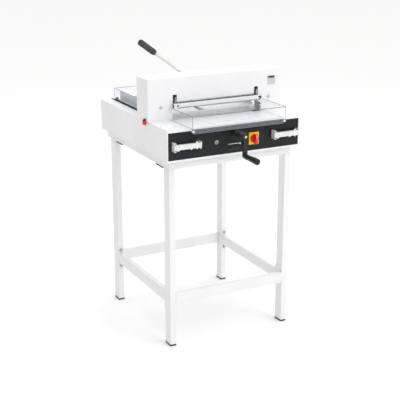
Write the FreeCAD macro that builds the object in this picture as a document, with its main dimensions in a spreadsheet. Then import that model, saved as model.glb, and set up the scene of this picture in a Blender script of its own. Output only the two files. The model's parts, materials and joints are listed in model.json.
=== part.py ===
import FreeCAD, Part
import Sketcher
import math
import os
import re

# A floor-standing guillotine paper cutter. X runs along the cut with +X at the operator's right,
# Y runs from the operator to the rear, Z is up from the floor. Every place below is written from
# the middle of the machine's width, from the front face of its body and from the floor, and
# place() then carries it to the origin: the floor, at the middle of the machine's outline.

SIZES = [
    # body and tables
    ("body_wide", 620), ("body_deep", 692), ("body_low", 819), ("table_top", 953),
    ("sheet_metal", 3), ("table_thick", 8), ("bezel_side", 4.5), ("bezel_top", 11), ("bezel_low", 9),
    ("panel_gap", 0.5), ("panel_thick", 4), ("fit_gap", 0.3), ("run_gap", 0.05),
    ("vent_wide", 80), ("vent_high", 4), ("vent_pitch", 9), ("vent_side", 60), ("vent_low", 30),
    ("inlet_side", 110), ("inlet_low", 30), ("inlet_wide", 32), ("inlet_high", 24), ("inlet_deep", 24),
    ("inlet_wall", 2.5), ("inlet_rim", 6), ("inlet_rim_thick", 2),
    ("drive_x", -285), ("drive_front", 470), ("gear_wide", 110), ("gear_deep", 120), ("gear_high", 92),
    ("motor_radius", 42), ("motor_long", 150), ("output_radius", 16), ("output_long", 30),
    # stand
    ("base_low", 783), ("base_inset", 21), ("base_front", 30), ("base_back", 677), ("base_wall", 4),
    ("leg_wide", 27), ("leg_deep", 50), ("leg_wall", 2), ("leg_back", 589), ("foot_thick", 7),
    ("foot_plug", 14), ("rail_low", 190), ("rail_high", 48), ("rail_thick", 22), ("end_plate", 4),
    ("end_plate_high", 104), ("bolt_radius", 6), ("bolt_head", 6), ("bolt_from_rail", 14),
    ("pad_long", 63), ("pad_wide", 24), ("pad_thick", 6), ("pad_from_leg", 12),
    # head
    ("head_over", 6), ("head_front", 167), ("head_deep", 108), ("head_top", 1129),
    ("mouth_wide", 408), ("mouth_top", 1027), ("arm_place", 193.5), ("slot_wide", 16), ("slot_top", 1057),
    ("back_mouth_wide", 500), ("back_mouth_top", 1000), ("column_wide", 44), ("column_deep", 92),
    ("column_gap", 255), ("column_short", 8), ("beam_front", 240), ("beam_deep", 24), ("beam_low", 1030),
    ("beam_high", 84), ("badge_in", 60), ("badge_low", 1061), ("badge_wide", 38), ("badge_high", 40),
    ("badge_thick", 1.2), ("plug_place", 257), ("plug_high", 1010), ("plug_radius", 6.5), ("plug_thick", 1.5),
    # knife, clamp and cutting stick
    ("knife_long", 450), ("knife_start", 12.5), ("knife_thick", 9), ("knife_back", 195),
    ("knife_edge", 1003), ("knife_high", 96), ("knife_bevel", 26), ("carrier_over", 8),
    ("carrier_thick", 9), ("carrier_low", 1040), ("carrier_high", 68), ("knife_bolt_radius", 6),
    ("knife_bolt_head", 1.5), ("knife_bolt_pitch", 90), ("knife_bolt_up", 22),
    ("stick_wide", 14), ("stick_high", 10), ("stick_long", 540), ("stick_out", 7), ("channel_side", 14),
    ("channel_thick", 16), ("clamp_long", 480), ("clamp_front", 197), ("clamp_deep", 38),
    ("clamp_low", 998), ("clamp_high", 22), ("spine_thick", 10), ("spine_high", 66),
    ("knob_radius", 10), ("knob_reach", 12), ("knob_drop", 5),
    # clamp lever
    ("pivot_high", 1047), ("shaft_radius", 8), ("pinion_radius", 24), ("pinion_teeth", 24),
    ("pinion_thick", 12), ("rack_thick", 14), ("lever_rise", 36.7), ("lever_gap", 4), ("hub_radius", 19),
    ("hub_thick", 16), ("rod_radius", 6), ("rod_hidden", 20), ("grip_start", 281), ("grip_long", 86),
    ("lever_grip_radius", 13),
    # guards
    ("guard_wide", 432), ("guard_front", 38), ("guard_top", 1007), ("clear_wall", 4), ("guard_lip", 946),
    ("lip_deep", 14), ("lip_thick", 3), ("guard_clear", 4), ("guard_from_bar", 4), ("guard_ear", 9),
    ("bar_front", 150), ("bar_thick", 8), ("bar_low", 1003), ("bar_high", 19), ("pin_high", 1012),
    ("pin_radius", 3), ("guard_arm_wide", 8), ("guard_arm_thick", 6), ("tongue_deep", 10),
    ("tongue_high", 12), ("arm_pin_radius", 4), ("arm_pin_long", 11),
    ("cover_wide", 520), ("cover_front", 304), ("cover_back", 652), ("cover_top", 1008),
    ("cover_pin_high", 999), ("hinge_gap", 2), ("hinge_thick", 6), ("hinge_high", 18), ("hinge_foot", 20),
    ("hinge_pin_in", 8), ("hinge_pin_long", 9),
    ("guide_place", 232), ("guide_high", 40), ("guide_front", 290), ("guide_long", 355),
    ("guide_thick", 3), ("guide_foot", 18),
    # back gauge, spindle and crank
    ("gauge_place", 500), ("gauge_thick", 18), ("gauge_high", 40), ("gauge_wide", 448),
    ("gauge_slot", 24), ("slot_front", 285), ("slot_long", 350), ("slot_run", 2), ("nut_wide", 36),
    ("nut_over", 7), ("nut_half", 16), ("spindle_x", -3), ("spindle_high", 914), ("spindle_radius", 9),
    ("spindle_in", 8), ("bearing_wide", 32), ("bearing_deep", 14), ("bearing_back", 50),
    ("crank_out", 90), ("crank_arm", 81),
    ("crank_wide", 19), ("crank_thick", 10), ("crank_hub_radius", 14), ("crank_collar_radius", 19),
    ("crank_collar_thick", 9), ("crank_gap", 3), ("crank_axle_radius", 4), ("crank_grip", 98),
    ("crank_grip_radius", 13),
    # controls
    ("bar_long", 108), ("bar_left", -227), ("bar_right", 236), ("bar_centre", 886),
    ("cut_bar_high", 20), ("cut_bar_out", 26),
    ("cut_bar_thick", 13), ("cut_bar_wall", 3), ("bracket_wide", 8), ("bracket_thin", 4),
    ("bracket_tall", 37), ("bracket_short", 30), ("switch_x", 88), ("switch_high", 879),
    ("switch_wide", 47), ("switch_tall", 51), ("switch_thick", 3), ("switch_bore", 6),
    ("switch_disc", 17), ("switch_disc_thick", 9), ("switch_grip_wide", 11), ("switch_grip_deep", 16),
    ("switch_grip_long", 40), ("key_x", -88), ("key_high", 882), ("key_radius", 9), ("key_ring_thick", 4),
    ("key_wall", 1.5), ("key_ring_wall", 3.5), ("key_barrel_long", 22), ("key_slit", 1.6),
    ("key_slit_high", 8),
]

doc = FreeCAD.newDocument("guillotine_cutter")
sheet = doc.addObject("Spreadsheet::Sheet", "Dims")
for row, (alias, value) in enumerate(SIZES, start=1):
    sheet.set("A%d" % row, alias)
    sheet.set("B%d" % row, str(value))
    sheet.setAlias("B%d" % row, alias)
doc.recompute()

PARTS = []
FUNCTIONS = ("sin", "cos", "tan", "abs", "min", "max", "deg")


def size(alias):
    """A driving dimension as a number."""
    return float(sheet.get(alias))


def formula(text):
    """Bare alias words become cell references, so that sizes read as plain sums."""
    def cell(match):
        word = match.group(0)
        return word if word in FUNCTIONS else "Dims." + word
    return re.sub(r"[a-z][a-z_]+", cell, str(text))


def bind(obj, prop, text):
    """Ties one property to the spreadsheet."""
    obj.setExpression(prop, formula(text))


def move(obj, at, turn=None):
    """Puts an object at a place given by three formulas, turned if a rotation is given."""
    obj.Placement = FreeCAD.Placement(FreeCAD.Vector(), turn or FreeCAD.Rotation())
    for letter, text in zip("xyz", at):
        bind(obj, "Placement.Base." + letter, text)
    return obj


def place(obj, node, at, turn=None):
    """Names a finished sub-part and puts it on the machine."""
    x, y, z = at
    move(obj, (x, "(%s) - (body_deep - crank_out - crank_grip) / 2" % y, z), turn)
    obj.Label = node
    PARTS.append(obj)
    return obj


ALONG_X = FreeCAD.Rotation(FreeCAD.Vector(0, 1, 0), 90)
ALONG_Y = FreeCAD.Rotation(FreeCAD.Vector(1, 0, 0), -90)


def block(name, dims, at=(0, 0, 0)):
    """A box by its three sizes and its low corner."""
    obj = doc.addObject("Part::Box", name)
    for prop, text in zip(("Length", "Width", "Height"), dims):
        bind(obj, prop, text)
    return move(obj, at)


def rod(name, radius, length, at=(0, 0, 0), turn=None):
    """A cylinder that starts at a place and runs along Z, or along the turned axis."""
    obj = doc.addObject("Part::Cylinder", name)
    bind(obj, "Radius", radius)
    bind(obj, "Height", length)
    return move(obj, at, turn)


def cut(name, base, tools):
    """The base less its tools, one after another."""
    for index, tool in enumerate(tools):
        obj = doc.addObject("Part::Cut", "%s_%d" % (name, index))
        obj.Base = base
        obj.Tool = tool
        base = obj
    return base


def fuse(name, shapes):
    """Several solids as one."""
    obj = doc.addObject("Part::MultiFuse", name)
    obj.Shapes = shapes
    obj.Refine = True
    return obj


def group(name, shapes):
    """Several separate solids that share one node."""
    obj = doc.addObject("Part::Compound", name)
    obj.Links = shapes
    return obj


def body(name):
    return doc.addObject("PartDesign::Body", name)


def sketch(owner, name, role, lift="0"):
    """A sketch on one of the body's own origin planes."""
    obj = owner.newObject("Sketcher::SketchObject", name)
    origin_plane = [f for f in owner.Origin.OriginFeatures if f.Role == role][0]
    obj.AttachmentSupport = (origin_plane, [""])
    obj.MapMode = "FlatFace"
    bind(obj, "AttachmentOffset.Base.z", lift)
    return obj


def distance(sk, kind, geometry, vertex, text):
    """A dimension from the sketch's origin to a point."""
    index = sk.addConstraint(Sketcher.Constraint(kind, -1, 1, geometry, vertex, 1.0))
    sk.setExpression("Constraints[%d]" % index, formula(text))


def outline(sk, points):
    """A closed outline of straight lines, each corner held by two dimensions."""
    first = sk.GeometryCount
    # a regular polygon stands in until the dimensions pull the corners to their places
    count = len(points)
    corners = []
    for index in range(count):
        angle = 2 * math.pi * index / count
        corners.append(FreeCAD.Vector(60 + 50 * math.cos(angle), 60 + 50 * math.sin(angle), 0))
    for index in range(count):
        sk.addGeometry(Part.LineSegment(corners[index], corners[(index + 1) % count]), False)
    for index in range(count):
        following = first + (index + 1) % count
        sk.addConstraint(Sketcher.Constraint("Coincident", first + index, 2, following, 1))
    for index, (x, y) in enumerate(points):
        distance(sk, "DistanceX", first + index, 1, x)
        distance(sk, "DistanceY", first + index, 1, y)


def rectangle(sk, x, y, wide, high):
    """A rectangle by its low corner and its two sides."""
    right = "(%s) + (%s)" % (x, wide)
    top = "(%s) + (%s)" % (y, high)
    outline(sk, [(x, y), (right, y), (right, top), (x, top)])


def circle(sk, x, y, radius):
    index = sk.addGeometry(Part.Circle(FreeCAD.Vector(10, 10, 0), FreeCAD.Vector(0, 0, 1), 5), False)
    distance(sk, "DistanceX", index, 3, x)
    distance(sk, "DistanceY", index, 3, y)
    held = sk.addConstraint(Sketcher.Constraint("Radius", index, 5.0))
    sk.setExpression("Constraints[%d]" % held, formula(radius))


def pad(owner, sk, length, backwards=False):
    obj = owner.newObject("PartDesign::Pad", sk.Name + "_pad")
    obj.Profile = sk
    bind(obj, "Length", length)
    obj.Reversed = backwards
    sk.Visibility = False
    return obj


def pocket(owner, sk, length, backwards=False):
    """A pocket of a given depth. It has to take material away, which is checked at the end."""
    obj = owner.newObject("PartDesign::Pocket", sk.Name + "_pocket")
    obj.Profile = sk
    bind(obj, "Length", length)
    obj.Reversed = backwards
    return obj


def turned(owner, sk):
    """A revolution of the sketch about its own vertical axis."""
    obj = owner.newObject("PartDesign::Revolution", sk.Name + "_turned")
    obj.Profile = sk
    obj.ReferenceAxis = (sk, ["V_Axis"])
    obj.Angle = 360
    return obj


def plate(name, role, wide, high, thick):
    """A plain plate as a body, its low corner at the body's origin."""
    owner = body(name)
    sk = sketch(owner, name + "_outline", role)
    rectangle(sk, 0, 0, wide, high)
    pad(owner, sk, thick, backwards=(role == "XZ_Plane"))
    return owner


# ---------------------------------------------------------------- stand

def make_leg(node, x, y):
    """A rectangular tube, open at its lower end where the foot's plug goes."""
    owner = body(node)
    outer = sketch(owner, node + "_outer", "XY_Plane")
    rectangle(outer, 0, 0, "leg_wide", "leg_deep")
    pad(owner, outer, "base_low - foot_thick")
    bore = sketch(owner, node + "_bore", "XY_Plane")
    rectangle(bore, "leg_wall", "leg_wall", "leg_wide - 2 * leg_wall", "leg_deep - 2 * leg_wall")
    pocket(owner, bore, "base_low - foot_thick - 2 * leg_wall", backwards=True)
    place(owner, node, (x, y, "foot_thick"))


LEG_LEFT = "-body_wide / 2 + base_inset"
LEG_RIGHT = "body_wide / 2 - base_inset - leg_wide"
for side, leg_x in (("left", LEG_LEFT), ("right", LEG_RIGHT)):
    for end, leg_y in (("front", "base_front"), ("rear", "leg_back")):
        make_leg("leg_%s_%s" % (end, side), leg_x, leg_y)


def make_feet():
    """Four rubber glides, each with a plug that stands up inside its leg."""
    feet = []
    for side, leg_x in (("left", LEG_LEFT), ("right", LEG_RIGHT)):
        for end, leg_y in (("front", "base_front"), ("rear", "leg_back")):
            name = "foot_%s_%s" % (end, side)
            sole = block(name + "_sole", ("leg_wide", "leg_deep", "foot_thick"), (leg_x, leg_y, 0))
            plug = block(
                name + "_plug",
                ("leg_wide - 2 * (leg_wall + fit_gap)", "leg_deep - 2 * (leg_wall + fit_gap)", "foot_plug"),
                (leg_x + " + leg_wall + fit_gap", leg_y + " + leg_wall + fit_gap", "foot_thick"))
            feet.append(fuse(name, [sole, plug]))
    place(group("feet_group", feet), "feet", (0, 0, 0))


make_feet()


def make_cross_rail(node, y):
    """A box-section rail between two legs across the machine."""
    owner = plate(node, "YZ_Plane", "rail_thick", "rail_high", "body_wide - 2 * (base_inset + leg_wide)")
    place(owner, node, (LEG_LEFT + " + leg_wide", y, "rail_low"))


make_cross_rail("front_rail", "base_front")
make_cross_rail("rear_rail", "leg_back + leg_deep - rail_thick")

SIDE_RAIL_LONG = "leg_back - base_front - leg_deep"


def make_side_rail(node, leg_x):
    """A rail between the front and the rear leg, with a bolting plate at each end."""
    owner = body(node)
    bar = sketch(owner, node + "_bar", "XZ_Plane")
    rectangle(bar, "(leg_wide - rail_thick) / 2", "(end_plate_high - rail_high) / 2",
              "rail_thick", "rail_high")
    pad(owner, bar, SIDE_RAIL_LONG, backwards=True)
    for end, lift in (("near", "0"), ("far", "-(%s - end_plate)" % SIDE_RAIL_LONG)):
        flange = sketch(owner, node + "_" + end, "XZ_Plane", lift)
        rectangle(flange, 0, 0, "leg_wide", "end_plate_high")
        pad(owner, flange, "end_plate", backwards=True)
    low = "rail_low - (end_plate_high - rail_high) / 2"
    place(owner, node, (leg_x, "base_front + leg_deep", low))


make_side_rail("side_rail_left", LEG_LEFT)
make_side_rail("side_rail_right", LEG_RIGHT)


def make_rail_bolts():
    """Cap bolts above and below each side rail's end, standing on its plates."""
    bolts = []
    near = "base_front + leg_deep + end_plate"
    far = "leg_back - end_plate - bolt_head"
    under = "rail_low - bolt_from_rail"
    over = "rail_low + rail_high + bolt_from_rail"
    for side, leg_x in (("left", LEG_LEFT), ("right", LEG_RIGHT)):
        for end, y in (("front", near), ("rear", far)):
            for level, z in (("low", under), ("high", over)):
                name = "bolt_%s_%s_%s" % (side, end, level)
                at = (leg_x + " + leg_wide / 2", y, z)
                bolts.append(rod(name, "bolt_radius", "bolt_head", at, ALONG_Y))
    place(group("rail_bolt_group", bolts), "rail_bolts", (0, 0, 0))


make_rail_bolts()


def make_base_frame():
    """The folded tray that carries the body on the legs, open at the top."""
    owner = body("base_frame")
    outer = sketch(owner, "base_outer", "XY_Plane")
    rectangle(outer, 0, 0, "body_wide - 2 * base_inset", "base_back - base_front")
    pad(owner, outer, "body_low - base_low")
    well = sketch(owner, "base_well", "XY_Plane", "body_low - base_low")
    rectangle(well, "base_wall", "base_wall", "body_wide - 2 * base_inset - 2 * base_wall",
              "base_back - base_front - 2 * base_wall")
    pocket(owner, well, "body_low - base_low - base_wall")
    place(owner, "base_frame", (LEG_LEFT, "base_front", "base_low"))


make_base_frame()


def make_base_pads():
    """Rubber pads under the tray, for when the cutter stands on a bench without its legs."""
    pads = []
    for side, x in (("left", LEG_LEFT), ("right", "body_wide / 2 - base_inset - pad_wide")):
        near = "base_front + leg_deep + pad_from_leg"
        far = "leg_back - pad_from_leg - pad_long"
        for end, y in (("front", near), ("rear", far)):
            name = "pad_%s_%s" % (side, end)
            pads.append(block(name, ("pad_wide", "pad_long", "pad_thick"), (x, y, "base_low - pad_thick")))
    place(group("base_pad_group", pads), "base_pads", (0, 0, 0))


make_base_pads()

# ---------------------------------------------------------------- body

BODY_HIGH = "table_top - body_low"
INNER_WIDE = "body_wide - 2 * sheet_metal"
GROOVE_FRONT = "knife_back - 0.75 * stick_wide - fit_gap"
GROOVE_WIDE = "stick_wide + 2 * fit_gap"
STICK_LEFT = "-body_wide / 2 - stick_out"
KNOB_HIGH = "table_top - knob_drop"


def make_body_sides():
    """Side covers. The left one is notched at the top where the cutting stick comes out."""
    for side, x in (("left", "-body_wide / 2"), ("right", "body_wide / 2 - sheet_metal")):
        node = "body_side_" + side
        owner = plate(node, "YZ_Plane", "body_deep - 2 * sheet_metal", BODY_HIGH, "sheet_metal")
        if side == "left":
            notch = sketch(owner, node + "_notch", "YZ_Plane")
            rectangle(notch, GROOVE_FRONT + " - sheet_metal", BODY_HIGH + " - stick_high - 2 * fit_gap",
                      GROOVE_WIDE, "stick_high + 2 * fit_gap")
            pocket(owner, notch, "sheet_metal", backwards=True)
        place(owner, node, (x, "sheet_metal", "body_low"))


make_body_sides()


def make_front_frame():
    """The white surround of the control panel."""
    owner = plate("front_frame", "XZ_Plane", "body_wide", BODY_HIGH, "sheet_metal")
    window = sketch(owner, "front_window", "XZ_Plane")
    rectangle(window, "bezel_side", "bezel_low", "body_wide - 2 * bezel_side",
              BODY_HIGH + " - bezel_top - bezel_low")
    pocket(owner, window, "sheet_metal")
    place(owner, "front_frame", ("-body_wide / 2", 0, "body_low"))


make_front_frame()

PANEL_LEFT = "-body_wide / 2 + bezel_side + panel_gap"
PANEL_LOW = "body_low + bezel_low + panel_gap"
PANEL_SET_IN = 1
PANEL_FACE = "(sheet_metal - %d)" % PANEL_SET_IN


def make_control_panel():
    """The black control panel, bored for the crank spindle, the key switch and the main switch."""
    owner = plate("control_panel", "XZ_Plane", "body_wide - 2 * (bezel_side + panel_gap)",
                  BODY_HIGH + " - bezel_top - bezel_low - 2 * panel_gap", "panel_thick")
    holes = sketch(owner, "panel_holes", "XZ_Plane")
    for x, z, radius in (
            ("spindle_x", "spindle_high", "spindle_radius + crank_gap"),
            ("key_x", "key_high", "key_radius - key_wall"),
            ("switch_x", "switch_high", "switch_bore")):
        circle(holes, "%s - (%s)" % (x, PANEL_LEFT), "%s - (%s)" % (z, PANEL_LOW), radius)
    pocket(owner, holes, "panel_thick")
    place(owner, "control_panel", (PANEL_LEFT, PANEL_FACE, PANEL_LOW))


make_control_panel()


VENTS = 9
THROUGH = ("-sheet_metal", "3 * sheet_metal")


def make_rear_panel():
    """The rear sheet, with a bank of cooling slots and the inlet's window."""
    start, depth = THROUGH
    base = block("rear_sheet", ("body_wide", "sheet_metal", BODY_HIGH))
    tools = [block("inlet_window", ("inlet_wide", depth, "inlet_high"),
                   ("body_wide - inlet_side", start, "inlet_low"))]
    for index in range(VENTS):
        tools.append(block("vent_%d" % index, ("vent_wide", depth, "vent_high"),
                           ("vent_side", start, "vent_low + %d * vent_pitch" % index)))
    place(cut("rear_sheet_cut", base, tools), "rear_panel",
          ("-body_wide / 2", "body_deep - sheet_metal", "body_low"))


make_rear_panel()


def make_power_inlet():
    """A three-pin appliance inlet, recessed behind its flange."""
    wide = "inlet_wide - 2 * fit_gap"
    high = "inlet_high - 2 * fit_gap"
    shell = block("inlet_shell", (wide, "inlet_deep", high), (0, "-inlet_deep", 0))
    flange = block(
        "inlet_flange",
        ("inlet_wide + 2 * inlet_rim", "inlet_rim_thick", "inlet_high + 2 * inlet_rim"),
        ("-inlet_rim", 0, "-inlet_rim"))
    well = block(
        "inlet_well",
        (wide + " - 2 * inlet_wall", "inlet_deep", high + " - 2 * inlet_wall"),
        ("inlet_wall", "-inlet_deep + 4 * inlet_wall", "inlet_wall"))
    pins = []
    for index in range(3):
        pins.append(block("inlet_pin_%d" % index, ("inlet_wall", "inlet_deep / 2", "2 * inlet_wall"),
                          ("inlet_wide / 4 * %d - fit_gap - inlet_wall / 2" % (index + 1),
                           "-inlet_deep + 3 * inlet_wall", "inlet_high / 2 - inlet_wall")))
    socket = cut("inlet_socket", fuse("inlet_body", [shell, flange]), [well])
    place(fuse("inlet_all", [socket] + pins), "power_inlet",
          ("body_wide / 2 - inlet_side + fit_gap", "body_deep", "body_low + inlet_low + fit_gap"))


make_power_inlet()

place(plate("bottom_plate", "XY_Plane", INNER_WIDE, "body_deep - 2 * sheet_metal", "sheet_metal"),
      "bottom_plate", ("-body_wide / 2 + sheet_metal", "sheet_metal", "body_low"))


def make_tables():
    """Front and rear table, either side of the cutting stick. The gauge's bracket runs in the slot."""
    left = "-body_wide / 2 + sheet_metal"
    low = "table_top - table_thick"
    start = "(%s + %s)" % (GROOVE_FRONT, GROOVE_WIDE)
    front = plate("table_front", "XY_Plane", INNER_WIDE, GROOVE_FRONT + " - sheet_metal", "table_thick")
    place(front, "table_front", (left, "sheet_metal", low))
    rear = plate("table_rear", "XY_Plane", INNER_WIDE, "body_deep - sheet_metal - " + start, "table_thick")
    slot = sketch(rear, "gauge_slot_outline", "XY_Plane")
    rectangle(slot, "spindle_x - gauge_slot / 2 - (%s)" % left, "slot_front - " + start,
              "gauge_slot", "slot_long")
    pocket(rear, slot, "table_thick", backwards=True)
    place(rear, "table_rear", (left, start, low))


make_tables()


def make_stick_channel():
    """The grooved bar that carries the cutting stick between the tables."""
    groove_deep = "(stick_high - table_thick + 2 * fit_gap)"
    bar = block("channel_bar", (INNER_WIDE, "stick_wide + 2 * channel_side", "channel_thick"))
    groove = block("channel_groove", (INNER_WIDE + " + 2 * fit_gap", GROOVE_WIDE, groove_deep + " + fit_gap"),
                   ("-fit_gap", "channel_side - fit_gap", "channel_thick - " + groove_deep))
    place(cut("channel_cut", bar, [groove]), "stick_channel",
          ("-body_wide / 2 + sheet_metal", GROOVE_FRONT + " - channel_side + fit_gap",
           "table_top - table_thick - channel_thick"))


make_stick_channel()

STICK_LOW = "table_top - stick_high - fit_gap"
place(plate("cutting_stick", "YZ_Plane", "stick_wide", "stick_high", "stick_long"), "cutting_stick",
      (STICK_LEFT, GROOVE_FRONT + " + fit_gap", STICK_LOW))


def make_stick_knob():
    """The domed pull at the stick's left end."""
    owner = body("stick_knob")
    sk = sketch(owner, "knob_profile", "XZ_Plane")
    outline(sk, [(0, 0), ("knob_radius", 0), ("knob_radius", "knob_reach * 0.35"),
                 ("knob_radius * 0.8", "knob_reach * 0.75"), ("knob_radius * 0.4", "knob_reach"),
                 (0, "knob_reach")])
    turned(owner, sk)
    place(owner, "stick_knob", (STICK_LEFT, "knife_back - stick_wide / 4", KNOB_HIGH),
          FreeCAD.Rotation(FreeCAD.Vector(0, 1, 0), -90))


make_stick_knob()


def make_drive_motor():
    """The knife drive inside the body: a motor on a gear housing."""
    housing = block("gear_housing", ("gear_wide", "gear_deep", "gear_high"))
    barrel = rod("motor_barrel", "motor_radius", "motor_long",
                 ("gear_wide", "gear_deep / 2", "gear_high / 2"), ALONG_X)
    output = rod("gear_output", "output_radius", "output_long",
                 ("gear_wide / 2", "-output_long", "gear_high / 2"), ALONG_Y)
    place(fuse("drive_all", [housing, barrel, output]), "drive_motor",
          ("drive_x", "drive_front", "body_low + sheet_metal"))


make_drive_motor()

# ---------------------------------------------------------------- head

HEAD_HIGH = "head_top - table_top"
HEAD_WIDE = "(body_wide + 2 * head_over)"
HEAD_LEFT = "-body_wide / 2 - head_over"


def make_head_front():
    """The front cover: a mouth over the table, and a slot above each end of it for a guard arm."""
    owner = plate("head_front", "XZ_Plane", HEAD_WIDE, HEAD_HIGH, "sheet_metal")
    mouth = sketch(owner, "mouth_outline", "XZ_Plane")
    below = -1
    rise = "mouth_top - table_top"
    top = "slot_top - table_top"
    reaches = ("mouth_wide / 2", "(arm_place + slot_wide / 2)", "(arm_place - slot_wide / 2)")
    edge_left, outer_left, inner_left = [HEAD_WIDE + " / 2 - " + reach for reach in reaches]
    edge_right, outer_right, inner_right = [HEAD_WIDE + " / 2 + " + reach for reach in reaches]
    outline(mouth, [
        (edge_left, below), (edge_right, below), (edge_right, rise), (outer_right, rise),
        (outer_right, top), (inner_right, top), (inner_right, rise), (inner_left, rise),
        (inner_left, top), (outer_left, top), (outer_left, rise), (edge_left, rise)])
    pocket(owner, mouth, "sheet_metal")
    place(owner, "head_front", (HEAD_LEFT, "head_front", "table_top"))


make_head_front()


def make_head_cover():
    """The folded cover over both sides and the top of the head."""
    outer = block("cover_outer", (HEAD_WIDE, "head_deep - sheet_metal", HEAD_HIGH))
    inner = block("cover_inner", (HEAD_WIDE + " - 2 * sheet_metal", "head_deep + sheet_metal", HEAD_HIGH),
                  ("sheet_metal", "-sheet_metal", "-sheet_metal"))
    place(cut("head_cover_cut", outer, [inner]), "head_cover",
          (HEAD_LEFT, "head_front + sheet_metal", "table_top"))


make_head_cover()


def make_head_back():
    """The rear cover of the head: a mouth for the sheets and a bore for the lever's shaft."""
    owner = plate("head_back", "XZ_Plane", HEAD_WIDE + " - 2 * sheet_metal", HEAD_HIGH + " - sheet_metal",
                  "sheet_metal")
    mouth = sketch(owner, "back_mouth", "XZ_Plane")
    below = -1
    rectangle(mouth, HEAD_WIDE + " / 2 - sheet_metal - back_mouth_wide / 2", below, "back_mouth_wide",
              "back_mouth_top - table_top - (%d)" % below)
    pocket(owner, mouth, "sheet_metal")
    bore = sketch(owner, "shaft_window", "XZ_Plane")
    circle(bore, HEAD_WIDE + " / 2 - sheet_metal", "pivot_high - table_top", "1.5 * shaft_radius")
    pocket(owner, bore, "sheet_metal")
    place(owner, "head_back",
          (HEAD_LEFT + " + sheet_metal", "head_front + head_deep - sheet_metal", "table_top"))


make_head_back()

for node, x in (("column_left", "-column_gap - column_wide"), ("column_right", "column_gap")):
    place(plate(node, "XY_Plane", "column_wide", "column_deep", HEAD_HIGH + " - column_short"), node,
          (x, "head_front + sheet_metal + column_short / 2", "table_top"))


def make_head_beam():
    """The cross beam between the columns. The lever's shaft turns in its bore."""
    owner = plate("head_beam", "XZ_Plane", "2 * column_gap", "beam_high", "beam_deep")
    bore = sketch(owner, "beam_bore", "XZ_Plane")
    circle(bore, "column_gap", "pivot_high - beam_low", "shaft_radius + run_gap")
    pocket(owner, bore, "beam_deep")
    place(owner, "head_beam", ("-column_gap", "beam_front", "beam_low"))


make_head_beam()

place(plate("badge_plate", "XZ_Plane", "badge_wide", "badge_high", "badge_thick"), "badge_plate",
      ("body_wide / 2 - badge_in", "head_front - badge_thick", "badge_low"))
PLUGS = [rod("plug_" + side, "plug_radius", "plug_thick", (x, 0, 0), ALONG_Y)
         for side, x in (("left", "-plug_place"), ("right", "plug_place"))]
place(group("plug_group", PLUGS), "head_plugs", (0, "head_front - plug_thick", "plug_high"))

# ---------------------------------------------------------------- knife

CARRIER_Y = "knife_back - knife_thick - carrier_thick"


def make_knife():
    """The blade, ground to an edge at its rear face. Its section is swept along X."""
    owner = body("knife")
    sk = sketch(owner, "knife_section", "YZ_Plane")
    outline(sk, [("knife_thick", 0), ("knife_thick", "knife_high"), (0, "knife_high"), (0, "knife_bevel")])
    pad(owner, sk, "knife_long")
    place(owner, "knife", ("-knife_long / 2 - knife_start", "knife_back - knife_thick", "knife_edge"))


make_knife()
place(plate("knife_carrier", "XZ_Plane", "knife_long + 2 * carrier_over", "carrier_high", "carrier_thick"),
      "knife_carrier", ("-knife_long / 2 - knife_start - carrier_over", CARRIER_Y, "carrier_low"))
BOLTS = [rod("knife_bolt_%d" % index, "knife_bolt_radius", "knife_bolt_head",
             ("%d * knife_bolt_pitch" % (index - 2), 0, 0), ALONG_Y) for index in range(5)]
place(group("knife_bolt_group", BOLTS), "knife_bolts",
      ("-knife_start", CARRIER_Y + " - knife_bolt_head", "carrier_low + knife_bolt_up"))

# ---------------------------------------------------------------- clamp and lever


def make_clamp_bar():
    """The clamp: a foot across the table under a spine that rises to the rack."""
    owner = body("clamp_bar")
    sk = sketch(owner, "clamp_section", "YZ_Plane")
    near = "(clamp_deep - spine_thick) / 2"
    far = "(clamp_deep + spine_thick) / 2"
    top = "clamp_high + spine_high"
    outline(sk, [(0, 0), ("clamp_deep", 0), ("clamp_deep", "clamp_high"), (far, "clamp_high"), (far, top),
                 (near, top), (near, "clamp_high"), (0, "clamp_high")])
    pad(owner, sk, "clamp_long")
    window = sketch(owner, "pinion_window", "XZ_Plane")
    rectangle(window, "clamp_long / 2 - pinion_radius - 8", "clamp_high",
              "2 * pinion_radius + rack_thick + 8", "spine_high + 1")
    pocket(owner, window, "clamp_deep")
    place(owner, "clamp_bar", ("-clamp_long / 2", "clamp_front", "clamp_low"))


make_clamp_bar()

MODULE = 2 * size("pinion_radius") / size("pinion_teeth")
BACKLASH = 0.25


def involute_half(base_radius, pitch_radius, outer_radius, half_angle):
    """One flank of a tooth as points, from the base circle to the tip."""
    def roll(radius):
        return math.tan(math.acos(base_radius / radius)) - math.acos(base_radius / radius)
    points = []
    for step in range(7):
        radius = base_radius + 0.001 + (outer_radius - base_radius - 0.001) * step / 6
        angle = half_angle + roll(pitch_radius) - roll(radius)
        points.append((radius, angle))
    return points


def pinion_face():
    """The pinion's outline about the origin of XZ, with a tooth space on the +X axis."""
    teeth = int(size("pinion_teeth"))
    pitch = size("pinion_radius")
    base = pitch * math.cos(math.radians(20))
    outer = pitch + 0.9 * MODULE
    root = pitch - 1.2 * MODULE
    half = math.pi / (2 * teeth) - BACKLASH / 2 / pitch
    flank = involute_half(base, pitch, outer, half)
    points = []
    for tooth in range(teeth):
        middle = 2 * math.pi * (tooth + 0.5) / teeth
        points.append((root, middle - flank[0][1]))
        points += [(radius, middle - angle) for radius, angle in flank]
        points += [(radius, middle + angle) for radius, angle in reversed(flank)]
        points.append((root, middle + flank[0][1]))
    corners = [FreeCAD.Vector(r * math.cos(a), 0, r * math.sin(a)) for r, a in points]
    return Part.Face(Part.makePolygon(corners + corners[:1]))


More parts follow.
